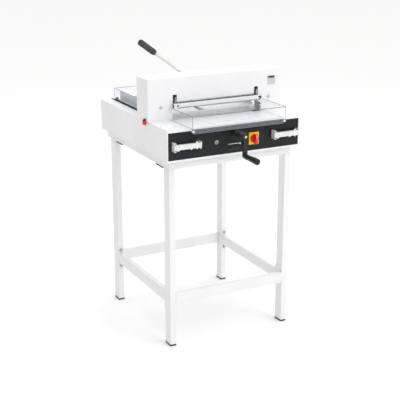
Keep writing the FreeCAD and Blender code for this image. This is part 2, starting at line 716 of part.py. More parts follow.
def make_lever_shaft():
    """The shaft with the pinion cut on its front end. It turns in the beam's bore."""
    front = size("clamp_front") + (size("clamp_deep") - size("pinion_thick")) / 2
    wheel = pinion_face().extrude(FreeCAD.Vector(0, size("pinion_thick"), 0))
    length = size("head_front") + size("head_deep") + size("lever_gap") - front
    shaft = Part.makeCylinder(size("shaft_radius"), length, FreeCAD.Vector(0, 0, 0), FreeCAD.Vector(0, 1, 0))
    obj = doc.addObject("Part::Feature", "lever_shaft")
    obj.Shape = wheel.fuse(shaft).removeSplitter()
    place(obj, "lever_shaft", (0, "clamp_front + (clamp_deep - pinion_thick) / 2", "pivot_high"))


make_lever_shaft()


def make_clamp_rack():
    """The rack on the clamp's spine, a tooth on the pinion's level at rest."""
    pitch = math.pi * MODULE
    count = 15
    above = 3
    depth = 1.2 * MODULE
    half_pitch_line = pitch / 4 - BACKLASH / 2
    slope = math.tan(math.radians(20))
    points = []
    for tooth in range(count):
        level = (tooth - above) * pitch
        root_half = half_pitch_line + depth * slope
        tip_half = half_pitch_line - 0.9 * MODULE * slope
        points += [(depth, level - root_half), (-0.9 * MODULE, level - tip_half)]
        points += [(-0.9 * MODULE, level + tip_half), (depth, level + root_half)]
    low = (-above - 0.5) * pitch
    high = (count - above - 0.5) * pitch
    points = [(size("rack_thick"), low), (depth, low)] + points + [(depth, high), (size("rack_thick"), high)]
    corners = [FreeCAD.Vector(x, 0, z) for x, z in points]
    face = Part.Face(Part.makePolygon(corners + corners[:1]))
    obj = doc.addObject("Part::Feature", "clamp_rack")
    obj.Shape = face.extrude(FreeCAD.Vector(0, size("pinion_thick") - 2, 0))
    place(obj, "clamp_rack",
          ("pinion_radius", "clamp_front + (clamp_deep - pinion_thick) / 2 + 1", "pivot_high"))


make_clamp_rack()

LEVER_Y = "head_front + head_deep + lever_gap"
LEVER_TURN = FreeCAD.Rotation(FreeCAD.Vector(0, 1, 0), -(90 - size("lever_rise")))


def make_lever():
    """Hub, steel rod and grip, rising to the left of the pivot. The rod's end is screwed into the hub."""
    middle = LEVER_Y + " + hub_thick / 2"
    hub = rod("hub_disc", "hub_radius", "hub_thick", (0, 0, 0), ALONG_Y)
    bore = rod("hub_bore", "rod_radius", "hub_radius + 2", (0, "hub_thick / 2", 0), LEVER_TURN)
    place(cut("hub_cut", hub, [bore]), "lever_hub", (0, LEVER_Y, "pivot_high"))
    steel = rod("rod_bar", "rod_radius", "grip_start + rod_hidden")
    place(steel, "lever_rod", (0, middle, "pivot_high"), LEVER_TURN)
    owner = body("lever_grip")
    sk = sketch(owner, "grip_profile", "XZ_Plane")
    full = "lever_grip_radius"
    narrow = full + " * 0.8"
    end = "(grip_start + grip_long)"
    outline(sk, [("rod_radius", "grip_start"), (narrow, "grip_start"), (full, "grip_start + rod_radius"),
                 (full, end + " - rod_radius / 2"), (narrow, end), (0, end), (0, "grip_start + rod_hidden"),
                 ("rod_radius", "grip_start + rod_hidden")])
    turned(owner, sk)
    place(owner, "lever_grip", (0, middle, "pivot_high"), LEVER_TURN)


make_lever()

# ---------------------------------------------------------------- front guard


PIN_Y = "(bar_front + pin_radius + 1)"


def make_guard_bar():
    """The white bar across the mouth, with a pivot pin at each end for the guard."""
    bar = block("bar_block", ("mouth_wide", "bar_thick", "bar_high"),
                ("-mouth_wide / 2", "bar_front", "bar_low"))
    reach = "(guard_wide / 2 + 1)"
    pin_long = reach + " - mouth_wide / 2 + 1"
    pins = []
    for side, x in (("left", "-" + reach), ("right", "mouth_wide / 2 - 1")):
        pins.append(rod("bar_pin_" + side, "pin_radius", pin_long, (x, PIN_Y, "pin_high"), ALONG_X))
    place(fuse("guard_bar_all", [bar] + pins), "guard_bar", (0, 0, 0))


make_guard_bar()


def make_guard_arms():
    """The two arms that carry the bar. Each runs up before its slot and back through it to the head."""
    face = "(head_front - guard_arm_thick - 1)"
    bar_back = "bar_front + bar_thick"
    arms = []
    for side, middle in (("left", "-arm_place"), ("right", "arm_place")):
        x = middle + " - guard_arm_wide / 2"
        upright = block("arm_up_" + side,
                        ("guard_arm_wide", "guard_arm_thick", "slot_top - bar_low - guard_arm_wide"),
                        (x, face, "bar_low"))
        foot = block("arm_foot_" + side,
                     ("guard_arm_wide", "head_front - (%s)" % bar_back, "bar_high - 4"),
                     (x, bar_back, "bar_low + 2"))
        tongue = block("arm_tongue_" + side, ("guard_arm_wide", "tongue_deep", "tongue_high"),
                       (x, face, "slot_top - guard_arm_wide - tongue_high"))
        pin = rod("arm_pin_" + side, "arm_pin_radius", "arm_pin_long",
                  (middle + " - arm_pin_long / 2", face + " + 1", "slot_top - 2 * tongue_high - 2"), ALONG_X)
        arms.append(fuse("guard_arm_" + side, [upright, foot, tongue, pin]))
    place(group("guard_arm_group", arms), "guard_arms", (0, 0, 0))


make_guard_arms()


def make_front_guard():
    """The clear guard over the front table: top, front and two sides, with a turned-in lip."""
    left = "-guard_wide / 2"
    near = "-guard_front"
    deep = "(bar_front - guard_from_bar + guard_front)"
    low = "(table_top + guard_clear)"
    top = block("guard_top_wall", ("guard_wide", deep, "clear_wall"), (left, near, "guard_top - clear_wall"))
    front = block("guard_front_wall", ("guard_wide", "clear_wall", "guard_top - guard_lip"),
                  (left, near, "guard_lip"))
    lip = block("guard_lip_wall", ("guard_wide", "lip_deep", "lip_thick"), (left, near, "guard_lip"))
    walls = []
    for side, x in (("left", left), ("right", "guard_wide / 2 - clear_wall")):
        walls.append(block("guard_side_" + side, ("clear_wall", deep + " + lip_deep", "guard_top - " + low),
                           (x, near, low)))
        walls.append(rod("guard_ear_" + side, "guard_ear", "clear_wall", (x, PIN_Y, "pin_high"), ALONG_X))
    bore = rod("guard_bore", "pin_radius + run_gap", "guard_wide + 2 * lip_deep",
               (left + " - lip_deep", PIN_Y, "pin_high"), ALONG_X)
    solid = cut("front_guard_cut", fuse("front_guard_all", [top, front, lip] + walls), [bore])
    place(solid, "front_guard", (0, 0, 0))


make_front_guard()

# ---------------------------------------------------------------- rear table


HINGE_Y = "(cover_front + hinge_pin_in)"


def make_rear_cover():
    """The clear cover over the rear table: top, rear and two sides, pivoted at its front corners."""
    left = "-cover_wide / 2"
    deep = "cover_back - cover_front"
    low = "(table_top + guard_clear)"
    high = "cover_top - " + low
    top = block("cover_top_wall", ("cover_wide", deep, "clear_wall"),
                (left, "cover_front", "cover_top - clear_wall"))
    rear = block("cover_rear_wall", ("cover_wide", "clear_wall", high),
                 (left, "cover_back - clear_wall", low))
    walls = []
    for side, x in (("left", left), ("right", "cover_wide / 2 - clear_wall")):
        walls.append(block("cover_side_" + side, ("clear_wall", deep, high), (x, "cover_front", low)))
    bore = rod("cover_bore", "pin_radius + run_gap", "cover_wide + 2 * hinge_pin_long",
               (left + " - hinge_pin_long", HINGE_Y, "cover_pin_high"), ALONG_X)
    solid = cut("rear_cover_cut", fuse("rear_cover_all", [top, rear] + walls), [bore])
    place(solid, "rear_cover", (0, 0, 0))


make_rear_cover()


def make_cover_hinges():
    """A bracket on the head's back beside each end of the rear cover, with the pin the cover turns on."""
    back = "(head_front + head_deep)"
    low = "cover_pin_high - hinge_high / 2"
    face = "(cover_wide / 2 + hinge_gap)"
    pin_in = "(hinge_pin_long - hinge_gap - 1)"
    brackets = []
    for side, arm_x, flange_x, pin_x in (
            ("left", "-%s - hinge_thick" % face, "-%s - hinge_foot" % face, "-%s - 1" % face),
            ("right", face, face, "cover_wide / 2 - " + pin_in)):
        arm = block("hinge_arm_" + side,
                    ("hinge_thick", "cover_front + 2 * hinge_pin_in - " + back, "hinge_high"),
                    (arm_x, back, low))
        flange = block("hinge_flange_" + side, ("hinge_foot", "hinge_thick / 2", "hinge_high"),
                       (flange_x, back, low))
        pin = rod("hinge_pin_" + side, "pin_radius", "hinge_pin_long",
                  (pin_x, HINGE_Y, "cover_pin_high"), ALONG_X)
        brackets.append(fuse("hinge_" + side, [arm, flange, pin]))
    place(group("hinge_group", brackets), "cover_hinges", (0, 0, 0))


make_cover_hinges()


def make_side_guides():
    """An angle along each side of the rear table, which the sheets are squared against."""
    guides = []
    for side, x, foot_x in (
            ("left", "-guide_place - guide_thick", "-guide_place - guide_foot"),
            ("right", "guide_place", "guide_place")):
        upright = block("guide_up_" + side, ("guide_thick", "guide_long", "guide_high"),
                        (x, "guide_front", "table_top"))
        foot = block("guide_foot_" + side, ("guide_foot", "guide_long", "guide_thick"),
                     (foot_x, "guide_front", "table_top"))
        guides.append(fuse("guide_" + side, [upright, foot]))
    place(group("guide_group", guides), "side_guides", (0, 0, 0))


make_side_guides()


def make_back_gauge():
    """The gauge bar with its bracket through the table's slot and the nut on the spindle."""
    bar = block("gauge_bar", ("gauge_wide", "gauge_thick", "gauge_high"),
                ("-gauge_wide / 2", 0, "table_top + fit_gap"))
    low = "(spindle_high - nut_half)"
    neck_high = "table_top + gauge_high / 10 - " + low
    neck = block("gauge_neck", ("gauge_slot - 2 * slot_run", "gauge_thick", neck_high),
                 ("spindle_x - gauge_slot / 2 + slot_run", 0, low))
    nut = block("gauge_nut", ("nut_wide", "gauge_thick + 2 * nut_over", "2 * nut_half"),
                ("spindle_x - nut_wide / 2", "-nut_over", low))
    bore = rod("nut_bore", "spindle_radius + run_gap", "gauge_thick + 4 * nut_over",
               ("spindle_x", "-2 * nut_over", "spindle_high"), ALONG_Y)
    solid = cut("gauge_cut", fuse("gauge_all", [bar, neck, nut]), [bore])
    place(solid, "back_gauge", (0, "gauge_place", 0))


make_back_gauge()


def make_spindle():
    """Spindle under the table, in a bearing block at its rear end."""
    long = "body_deep - bearing_back + crank_out - spindle_in"
    place(rod("spindle_bar", "spindle_radius", long), "spindle",
          ("spindle_x", "spindle_in - crank_out", "spindle_high"), ALONG_Y)
    half = "bearing_wide / 2"
    hanger = block("bearing_block",
                   ("bearing_wide", "bearing_deep", "table_top - table_thick - spindle_high + " + half),
                   ("-" + half, 0, "-" + half))
    journal = rod("bearing_bore", "spindle_radius + run_gap", "3 * bearing_deep",
                  (0, "-bearing_deep", 0), ALONG_Y)
    place(cut("bearing_cut", hanger, [journal]), "spindle_bearing",
          ("spindle_x", "body_deep - bearing_back - bearing_deep", "spindle_high"))


make_spindle()


def make_crank():
    """The crank's collar, hub and arm before the panel, and its turning grip."""
    hub_long = "(crank_out - crank_collar_thick - crank_gap)"
    hub = rod("crank_hub", "crank_hub_radius", hub_long, (0, 0, 0), ALONG_Y)
    collar = rod("crank_collar", "crank_collar_radius", "crank_collar_thick", (0, hub_long, 0), ALONG_Y)
    arm = block("crank_bar", ("crank_wide", "crank_thick", "crank_arm"), ("-crank_wide / 2", 0, "-crank_arm"))
    elbow = rod("crank_elbow", "crank_wide / 2", "crank_thick", (0, 0, "-crank_arm"), ALONG_Y)
    axle = rod("crank_axle", "crank_axle_radius", "crank_grip + 2",
               (0, "-crank_grip - 1", "-crank_arm"), ALONG_Y)
    bore = rod("crank_bore", "spindle_radius", "crank_out", (0, "spindle_in", 0), ALONG_Y)
    solid = cut("crank_cut", fuse("crank_all", [hub, collar, arm, elbow, axle]), [bore])
    place(solid, "crank", ("spindle_x", "-crank_out", "spindle_high"))
    owner = body("crank_grip")
    sk = sketch(owner, "crank_grip_profile", "XZ_Plane")
    full = "crank_grip_radius"
    bore_radius = "crank_axle_radius + run_gap"
    end = "crank_grip - 1"
    outline(sk, [(bore_radius, 0), (full + " * 0.75", 0), (full + " * 0.8", "crank_grip * 0.3"),
                 (full, "crank_grip * 0.75"), (full, "crank_grip * 0.96"), (full + " * 0.8", end),
                 (bore_radius, end)])
    turned(owner, sk)
    place(owner, "crank_grip", ("spindle_x", "-crank_out - 0.5", "spindle_high - crank_arm"),
          FreeCAD.Rotation(FreeCAD.Vector(1, 0, 0), 90))


make_crank()

# ---------------------------------------------------------------- controls


def make_switch():
    """Main switch: a square plate with a rotary grip knob."""
    face = PANEL_FACE + " - switch_thick"
    place(plate("switch_plate", "XZ_Plane", "switch_wide", "switch_tall", "switch_thick"), "switch_plate",
          ("switch_x - switch_wide / 2", face, "switch_high - switch_tall / 2"))
    disc = rod("switch_disc_round", "switch_disc", "switch_disc_thick",
               (0, "-switch_disc_thick - fit_gap", 0), ALONG_Y)
    grip = block("switch_grip", ("switch_grip_wide", "switch_grip_deep", "switch_grip_long"),
                 ("-switch_grip_wide / 2", "-switch_disc_thick - switch_grip_deep", "-switch_grip_long / 2"))
    place(fuse("switch_knob_all", [disc, grip]), "switch_knob", ("switch_x", face, "switch_high"))


make_switch()


def make_key_switch():
    """Key switch: a chromed bezel screwed into the panel, and the barrel that the key turns."""
    bore_radius = "(key_radius - key_ring_wall)"
    ring = rod("key_ring", "key_radius", "key_ring_thick", (0, "-key_ring_thick", 0), ALONG_Y)
    neck = rod("key_neck", "key_radius - key_wall - fit_gap", "key_barrel_long - 2", (0, -1, 0), ALONG_Y)
    bore = rod("key_bore", bore_radius, "2 * key_barrel_long", (0, "-key_barrel_long / 2", 0), ALONG_Y)
    shell = cut("key_cut", fuse("key_all", [ring, neck]), [bore])
    place(shell, "key_switch", ("key_x", PANEL_FACE, "key_high"))
    front = "-key_ring_thick + 1"
    barrel = rod("key_core", bore_radius + " - run_gap", "key_barrel_long", (0, front, 0), ALONG_Y)
    slit = block("key_slit_cut", ("key_slit", "key_slit_high", "key_slit_high"),
                 ("-key_slit / 2", front + " - 2", "-key_slit_high / 2"))
    place(cut("key_barrel_cut", barrel, [slit]), "key_barrel", ("key_x", PANEL_FACE, "key_high"))


make_key_switch()


def make_cut_bar(side, left, long):
    """One pressed bar: a face with a rib along its top and another along its bottom."""
    low = "bar_centre - cut_bar_high / 2"
    high = "bar_centre + cut_bar_high / 2 - cut_bar_wall"
    face = block("cut_face_" + side, (long, "cut_bar_wall", "cut_bar_high"), (left, "-cut_bar_out", low))
    pieces = [face]
    for level, z in (("low", low), ("high", high)):
        pieces.append(block("cut_rib_%s_%s" % (side, level), (long, "cut_bar_thick", "cut_bar_wall"),
                            (left, "-cut_bar_out", z)))
    place(fuse("cut_bar_all_" + side, pieces), "cut_bar_" + side, (0, 0, 0))


def make_cut_bars():
    """Two-hand release: a pressed bar each side, each between a tall and a short fixed bracket."""
    brackets = []
    deep = "cut_bar_out + " + PANEL_FACE
    for side in ("left", "right"):
        left = "(bar_%s - bar_long / 2)" % side
        make_cut_bar(side, left, "bar_long")
        for end, x, wide, high in (
                ("tall", left + " - fit_gap - bracket_wide", "bracket_wide", "bracket_tall"),
                ("short", left + " + bar_long + fit_gap", "bracket_thin", "bracket_short")):
            brackets.append(block("bracket_%s_%s" % (side, end), (wide, deep, high),
                                  (x, "-cut_bar_out", "bar_centre - %s / 2" % high)))
    place(group("bracket_group", brackets), "cut_bar_brackets", (0, 0, 0))


make_cut_bars()

# ---------------------------------------------------------------- checks and export

doc.recompute()
for obj in doc.Objects:
    if "Invalid" in obj.State or "Error" in obj.State:
        raise RuntimeError("%s did not compute: %s" % (obj.Name, obj.State))
for obj in doc.Objects:
    if obj.TypeId == "PartDesign::Pocket":
        before = obj.BaseFeature.Shape.Volume
        if obj.Shape.Volume >= before - 1e-6:
            raise RuntimeError("%s takes nothing away" % obj.Name)
for part in PARTS:
    if part.Shape.isNull() or not part.Shape.isValid():
        raise RuntimeError("%s has no valid shape" % part.Label)

os.makedirs("parts", exist_ok=True)
for part in PARTS:
    part.Shape.exportStep("parts/%s.step" % part.Label)
print(len(PARTS), "parts written")
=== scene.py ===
import math

import bmesh
import bpy
from mathutils import Matrix, Vector
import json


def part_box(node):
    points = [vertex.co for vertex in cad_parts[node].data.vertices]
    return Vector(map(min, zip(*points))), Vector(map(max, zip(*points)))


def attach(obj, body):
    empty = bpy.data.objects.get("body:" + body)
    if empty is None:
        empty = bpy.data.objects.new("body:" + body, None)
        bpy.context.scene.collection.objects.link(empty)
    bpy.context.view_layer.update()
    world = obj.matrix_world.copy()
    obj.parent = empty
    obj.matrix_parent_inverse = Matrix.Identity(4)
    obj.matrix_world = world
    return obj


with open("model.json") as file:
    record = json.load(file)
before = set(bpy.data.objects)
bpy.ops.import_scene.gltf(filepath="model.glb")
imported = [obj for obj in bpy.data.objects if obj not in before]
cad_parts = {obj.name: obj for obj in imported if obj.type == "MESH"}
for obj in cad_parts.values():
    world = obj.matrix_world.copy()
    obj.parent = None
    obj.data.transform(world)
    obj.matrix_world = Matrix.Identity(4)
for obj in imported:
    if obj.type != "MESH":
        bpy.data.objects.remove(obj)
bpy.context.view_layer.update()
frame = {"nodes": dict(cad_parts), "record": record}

MM = 0.001
X_AXIS = Vector((1, 0, 0))
Y_AXIS = Vector((0, 1, 0))
Z_AXIS = Vector((0, 0, 1))


def mm_box(node):
    """A CAD node's lowest and highest corner, in millimetres."""
    low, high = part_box(node)
    return low / MM, high / MM


# ---------------------------------------------------------------- materials

def graph(name):
    """A node material: its tree, its shader and its object-space coordinates."""
    material = bpy.data.materials.new(name)
    material.use_nodes = True
    tree = material.node_tree
    shader = tree.nodes["Principled BSDF"]
    coords = tree.nodes.new("ShaderNodeTexCoord")
    return material, tree, shader, coords.outputs["Object"]


def stretched(tree, vector, scale):
    """The coordinates scaled apart along each axis, for grain that runs one way."""
    mapping = tree.nodes.new("ShaderNodeMapping")
    mapping.inputs["Scale"].default_value = scale
    tree.links.new(vector, mapping.inputs["Vector"])
    return mapping.outputs["Vector"]


def noise(tree, vector, scale, detail=4.0, roughness=0.55):
    """Cloudy noise, about 0 to 1."""
    node = tree.nodes.new("ShaderNodeTexNoise")
    node.inputs["Scale"].default_value = scale
    node.inputs["Detail"].default_value = detail
    node.inputs["Roughness"].default_value = roughness
    tree.links.new(vector, node.inputs["Vector"])
    return node.outputs["Fac"]


def cells(tree, vector, scale):
    """Distance to the nearest of many scattered points."""
    node = tree.nodes.new("ShaderNodeTexVoronoi")
    node.inputs["Scale"].default_value = scale
    tree.links.new(vector, node.inputs["Vector"])
    return node.outputs["Distance"]


def ramp(tree, factor, stops):
    """A colour ramp over a factor; stops are (place, grey or colour)."""
    node = tree.nodes.new("ShaderNodeValToRGB")
    elements = node.color_ramp.elements
    while len(elements) < len(stops):
        elements.new(0.5)
    for element, (place, value) in zip(elements, stops):
        element.position = place
        element.color = (*value, 1) if isinstance(value, tuple) else (value, value, value, 1)
    tree.links.new(factor, node.inputs["Fac"])
    return node.outputs["Color"]


def span(tree, factor, low, high, start=0.3, end=0.7):
    """A factor carried from one range of values to another."""
    node = tree.nodes.new("ShaderNodeMapRange")
    node.inputs["From Min"].default_value = start
    node.inputs["From Max"].default_value = end
    node.inputs["To Min"].default_value = low
    node.inputs["To Max"].default_value = high
    tree.links.new(factor, node.inputs["Value"])
    return node.outputs["Result"]


def blend_colours(tree, factor, first, second, kind="MIX"):
    """Two colours mixed by a factor; each is a colour or a socket."""
    node = tree.nodes.new("ShaderNodeMix")
    node.data_type = "RGBA"
    node.blend_type = kind
    for socket, value in ((node.inputs[6], first), (node.inputs[7], second)):
        if isinstance(value, tuple):
            socket.default_value = (*value, 1)
        else:
            tree.links.new(value, socket)
    if isinstance(factor, float):
        node.inputs[0].default_value = factor
    else:
        tree.links.new(factor, node.inputs[0])
    return node.outputs[2]


def bump(tree, height, distance, strength):
    """A surface normal that follows a height."""
    node = tree.nodes.new("ShaderNodeBump")
    node.inputs["Distance"].default_value = distance
    node.inputs["Strength"].default_value = strength
    tree.links.new(height, node.inputs["Height"])
    return node.outputs["Normal"]


def tinted(colour, amount):
    """A colour made darker or lighter by a factor."""
    return tuple(max(0.0, min(1.0, c * amount)) for c in colour)


def painted(name, colour, rough=(0.34, 0.46), peel=0.00012, soil=0.94):
    """Powder coat: orange-peel bump, faint hazes of handling and sparse fine specks."""
    material, tree, shader, where = graph(name)
    haze = span(tree, noise(tree, where, 5.0, 5.0), 0.0, 1.0)
    streak = span(tree, noise(tree, stretched(tree, where, (14, 14, 3.5)), 1.0, 3.0), 0.0, 0.5)
    base = blend_colours(tree, haze, colour, tinted(colour, soil))
    base = blend_colours(tree, streak, base, tinted(colour, 0.5 + soil / 2))
    specks = ramp(tree, cells(tree, where, 190.0), [(0.0, tinted(colour, 0.82)), (0.06, (1.0, 1.0, 1.0))])
    base = blend_colours(tree, 0.35, base, blend_colours(tree, 1.0, base, specks, "MULTIPLY"))
    tree.links.new(base, shader.inputs["Base Color"])
    tree.links.new(span(tree, noise(tree, where, 28.0, 6.0), *rough), shader.inputs["Roughness"])
    tree.links.new(bump(tree, noise(tree, where, 520.0, 2.0), peel, 0.5), shader.inputs["Normal"])
    return material


def brushed(name, colour, grain, rough=(0.22, 0.36), metallic=1.0, depth=0.00006):
    """Metal with a drawn or ground grain: grain holds the noise scale along each axis."""
    material, tree, shader, where = graph(name)
    lines = noise(tree, stretched(tree, where, grain), 1.0, 6.0, 0.7)
    haze = noise(tree, where, 22.0, 4.0)
    base = blend_colours(tree, span(tree, lines, 0.0, 1.0), tinted(colour, 0.84), tinted(colour, 1.06))
    base = blend_colours(tree, span(tree, haze, 0.0, 0.5), base, tinted(colour, 0.72))
    tree.links.new(base, shader.inputs["Base Color"])
    shader.inputs["Metallic"].default_value = metallic
    tree.links.new(span(tree, lines, *rough), shader.inputs["Roughness"])
    tree.links.new(bump(tree, lines, depth, 0.6), shader.inputs["Normal"])
    return material


def polished(name, colour, rough=(0.06, 0.16)):
    """Bright plating with faint polishing clouds and finger haze."""
    material, tree, shader, where = graph(name)
    haze = noise(tree, where, 40.0, 5.0)
    tree.links.new(blend_colours(tree, span(tree, haze, 0.0, 1.0), colour, tinted(colour, 0.86)),
                   shader.inputs["Base Color"])
    shader.inputs["Metallic"].default_value = 1.0
    tree.links.new(span(tree, haze, *rough), shader.inputs["Roughness"])
    tree.links.new(bump(tree, noise(tree, where, 900.0, 2.0), 0.00002, 0.3), shader.inputs["Normal"])
    return material


DUST = (0.5, 0.5, 0.48)


def moulded(name, colour, rough=(0.32, 0.5), grain=900.0, depth=0.00008, dusty=0.06, shine=0.5):
    """Moulded plastic: spark-eroded grain, soft colour drift and a trace of dust."""
    material, tree, shader, where = graph(name)
    drift = span(tree, noise(tree, where, 30.0, 4.0), 0.0, 1.0)
    base = blend_colours(tree, drift, colour, tinted(colour, 0.85))
    settled = span(tree, noise(tree, where, 85.0, 7.0), 0.0, dusty, 0.45, 0.8)
    base = blend_colours(tree, settled, base, DUST)
    tree.links.new(base, shader.inputs["Base Color"])
    tree.links.new(span(tree, noise(tree, where, 60.0, 5.0), *rough), shader.inputs["Roughness"])
    shader.inputs["Specular IOR Level"].default_value = shine
    tree.links.new(bump(tree, cells(tree, where, grain), depth, 0.5), shader.inputs["Normal"])
    return material


def rubber(name, colour):
    """Moulded rubber, scuffed pale on its high spots."""
    material, tree, shader, where = graph(name)
    worn = span(tree, noise(tree, where, 70.0, 6.0), 0.0, 1.0, 0.4, 0.75)
    tree.links.new(blend_colours(tree, worn, colour, (0.11, 0.11, 0.105)), shader.inputs["Base Color"])
    tree.links.new(span(tree, worn, 0.72, 0.92, 0.0, 1.0), shader.inputs["Roughness"])
    tree.links.new(bump(tree, noise(tree, where, 700.0, 3.0), 0.0002, 0.6), shader.inputs["Normal"])
    return material


def grip_skin(name, colour, pale):
    """Soft pebbled sleeve of the clamp lever, rubbed paler on its high spots."""
    material, tree, shader, where = graph(name)
    pebbles = cells(tree, where, 330.0)
    rub = span(tree, noise(tree, where, 55.0, 5.0), 0.0, 1.0, 0.35, 0.7)
    base = blend_colours(tree, span(tree, pebbles, 0.55, 0.0, 0.0, 0.6), colour, pale)
    base = blend_colours(tree, rub, base, tinted(colour, 0.55))
    tree.links.new(base, shader.inputs["Base Color"])
    tree.links.new(span(tree, pebbles, 0.55, 0.8, 0.0, 0.6), shader.inputs["Roughness"])
    tree.links.new(bump(tree, pebbles, 0.0006, 0.8), shader.inputs["Normal"])
    return material


def clear(name, colour, opacity):
    """Polycarbonate sheet, mostly open to what is behind it, with wiping haze."""
    material, tree, shader, where = graph(name)
    haze = noise(tree, where, 9.0, 6.0)
    streaks = noise(tree, stretched(tree, where, (5, 60, 60)), 1.0, 4.0)
    base = blend_colours(tree, span(tree, haze, 0.0, 1.0), colour, tinted(colour, 0.93))
    base = blend_colours(tree, span(tree, streaks, 0.0, 0.4), base, tinted(colour, 1.06))
    tree.links.new(base, shader.inputs["Base Color"])
    tree.links.new(span(tree, haze, 0.05, 0.16), shader.inputs["Roughness"])
    shader.inputs["Alpha"].default_value = opacity
    tree.links.new(bump(tree, streaks, 0.00004, 0.2), shader.inputs["Normal"])
    return material


def sheet_edge_shade(name, colour):
    """Sawn edge of the clear sheet: its blue-grey tint, darkened with painted shade for the light the edge
    bends away.
    """
    material, tree, shader, where = graph(name)
    saw = noise(tree, stretched(tree, where, (260, 260, 260)), 1.0, 4.0)
    tree.links.new(blend_colours(tree, span(tree, saw, 0.0, 1.0), colour, tinted(colour, 1.5)),
                   shader.inputs["Base Color"])
    tree.links.new(span(tree, saw, 0.18, 0.4), shader.inputs["Roughness"])
    tree.links.new(bump(tree, saw, 0.0001, 0.4), shader.inputs["Normal"])
    return material


WHITE = (0.835, 0.835, 0.845)
M = {
    "stand_white": painted("StandPowderCoat", (0.82, 0.825, 0.83), peel=0.00016),
    "cover_white": painted("CoverPowderCoat", WHITE),
    "table_white": painted("TableCoat", (0.80, 0.805, 0.82), rough=(0.26, 0.36), peel=0.00006, soil=0.96),
    "rubber_black": rubber("MouldedRubber", (0.022, 0.022, 0.022)),
    "bright_steel": brushed("ZincPlatedSteel", (0.60, 0.61, 0.62), (160, 160, 160), (0.26, 0.42)),
    "machine_grey": painted("MachineEnamel", (0.42, 0.44, 0.46), rough=(0.3, 0.5), soil=0.86),
    "guide_grey": painted("GuideEnamel", (0.55, 0.59, 0.62), rough=(0.3, 0.42), soil=0.9),
    "tool_steel": brushed("GroundSteel", (0.58, 0.59, 0.60), (9, 900, 240), (0.18, 0.34)),
    "chrome": polished("BrightChrome", (0.78, 0.77, 0.74)),
    "grip_dark": grip_skin("GripSleeve", (0.055, 0.058, 0.055), (0.12, 0.125, 0.115)),
    "plastic_black": moulded("BlackPlastic", (0.0135, 0.013, 0.011), rough=(0.3, 0.46), dusty=0.03,
                             shine=0.35),
    "panel_black": moulded("PanelFilm", (0.0085, 0.0115, 0.0125), rough=(0.45, 0.6), grain=1500.0,
                           depth=0.00003, dusty=0.02, shine=0.25),
    "stick_plastic": moulded("StickPlastic", (0.72, 0.70, 0.64), dusty=0.02),
    "knob_red": moulded("RedPlastic", (0.84, 0.012, 0.016), rough=(0.22, 0.34), depth=0.00003, dusty=0.02),
    "plate_yellow": moulded("YellowPlastic", (0.97, 0.64, 0.014), rough=(0.28, 0.4), depth=0.00004,
                            dusty=0.02),
    "badge_grey": moulded("BadgePlastic", (0.56, 0.57, 0.56), rough=(0.3, 0.45), depth=0.00003, dusty=0.03),
    "clear_guard": clear("ClearPolycarbonate", (0.84, 0.865, 0.90), 0.08),
    "bar_silver": brushed("AnodisedAluminium", (0.84, 0.84, 0.83), (12, 300, 700), (0.3, 0.42),
                          metallic=0.25),
}
# The clear sheets' edge colours are painted shade for the dark lines a clear edge shows; the pale one also
# colours the guard lip's beads.
DARK_EDGE_SHADE = sheet_edge_shade("SheetEdge", (0.022, 0.026, 0.034))
PALE_EDGE_SHADE = sheet_edge_shade("SheetEdgePale", (0.20, 0.23, 0.27))
# Blacked steel for the guard rod and its clips; its dark also stands in for painted shade in the gap above
# the guard bar.
DARK_STEEL_AND_GAP_SHADE = brushed("BlackedSteel", (0.13, 0.15, 0.16), (6, 500, 500), (0.3, 0.45))
GREY_STEEL = brushed("GreySteel", (0.30, 0.32, 0.33), (500, 500, 8), (0.25, 0.4))
# Near-black painted shade, put in holes, recesses and at the rear vent.
RECESS_SHADE = moulded("RecessShadow", (0.008, 0.008, 0.009), rough=(0.6, 0.8), dusty=0.0)
LIP_BAND = brushed("LipBand", (0.04, 0.043, 0.043), (4, 700, 420), (0.35, 0.55), metallic=0.1)
DULL_CHROME = polished("DullChrome", (0.60, 0.595, 0.58), rough=(0.16, 0.28))
LENS = moulded("LampLens", (0.82, 0.83, 0.84), rough=(0.12, 0.2), depth=0.00002, dusty=0.01)

OWN_FINISH = {"guard_arms": GREY_STEEL, "key_switch": DULL_CHROME, "key_barrel": DULL_CHROME}

BEVELS = {
    "leg_front_left": 1.6, "leg_front_right": 1.6, "leg_rear_left": 1.6, "leg_rear_right": 1.6,
    "front_rail": 1.6, "rear_rail": 1.6, "side_rail_left": 1.0, "side_rail_right": 1.0, "base_frame": 1.2,
    "body_side_left": 0.9, "body_side_right": 0.9, "front_frame": 0.8, "rear_panel": 0.8, "head_cover": 1.2,
    "table_front": 0.7, "table_rear": 0.7, "guard_bar": 1.0, "switch_plate": 0.9, "badge_plate": 0.4,
    "cut_bar_left": 0.8, "cut_bar_right": 0.8, "cut_bar_brackets": 0.8, "cutting_stick": 0.5,
    "base_pads": 1.2, "feet": 1.0, "control_panel": 0.4, "side_guides": 0.5, "back_gauge": 0.6,
    "switch_knob": 1.2, "crank": 0.9, "guard_arms": 0.4, "knife": 0.2, "column_left": 1.0,
    "column_right": 1.0,
    "power_inlet": 0.5, "drive_motor": 1.0, "stick_channel": 0.5, "clamp_bar": 0.6, "head_beam": 0.8,
    "rail_bolts": 0.5, "cover_hinges": 0.4,
}


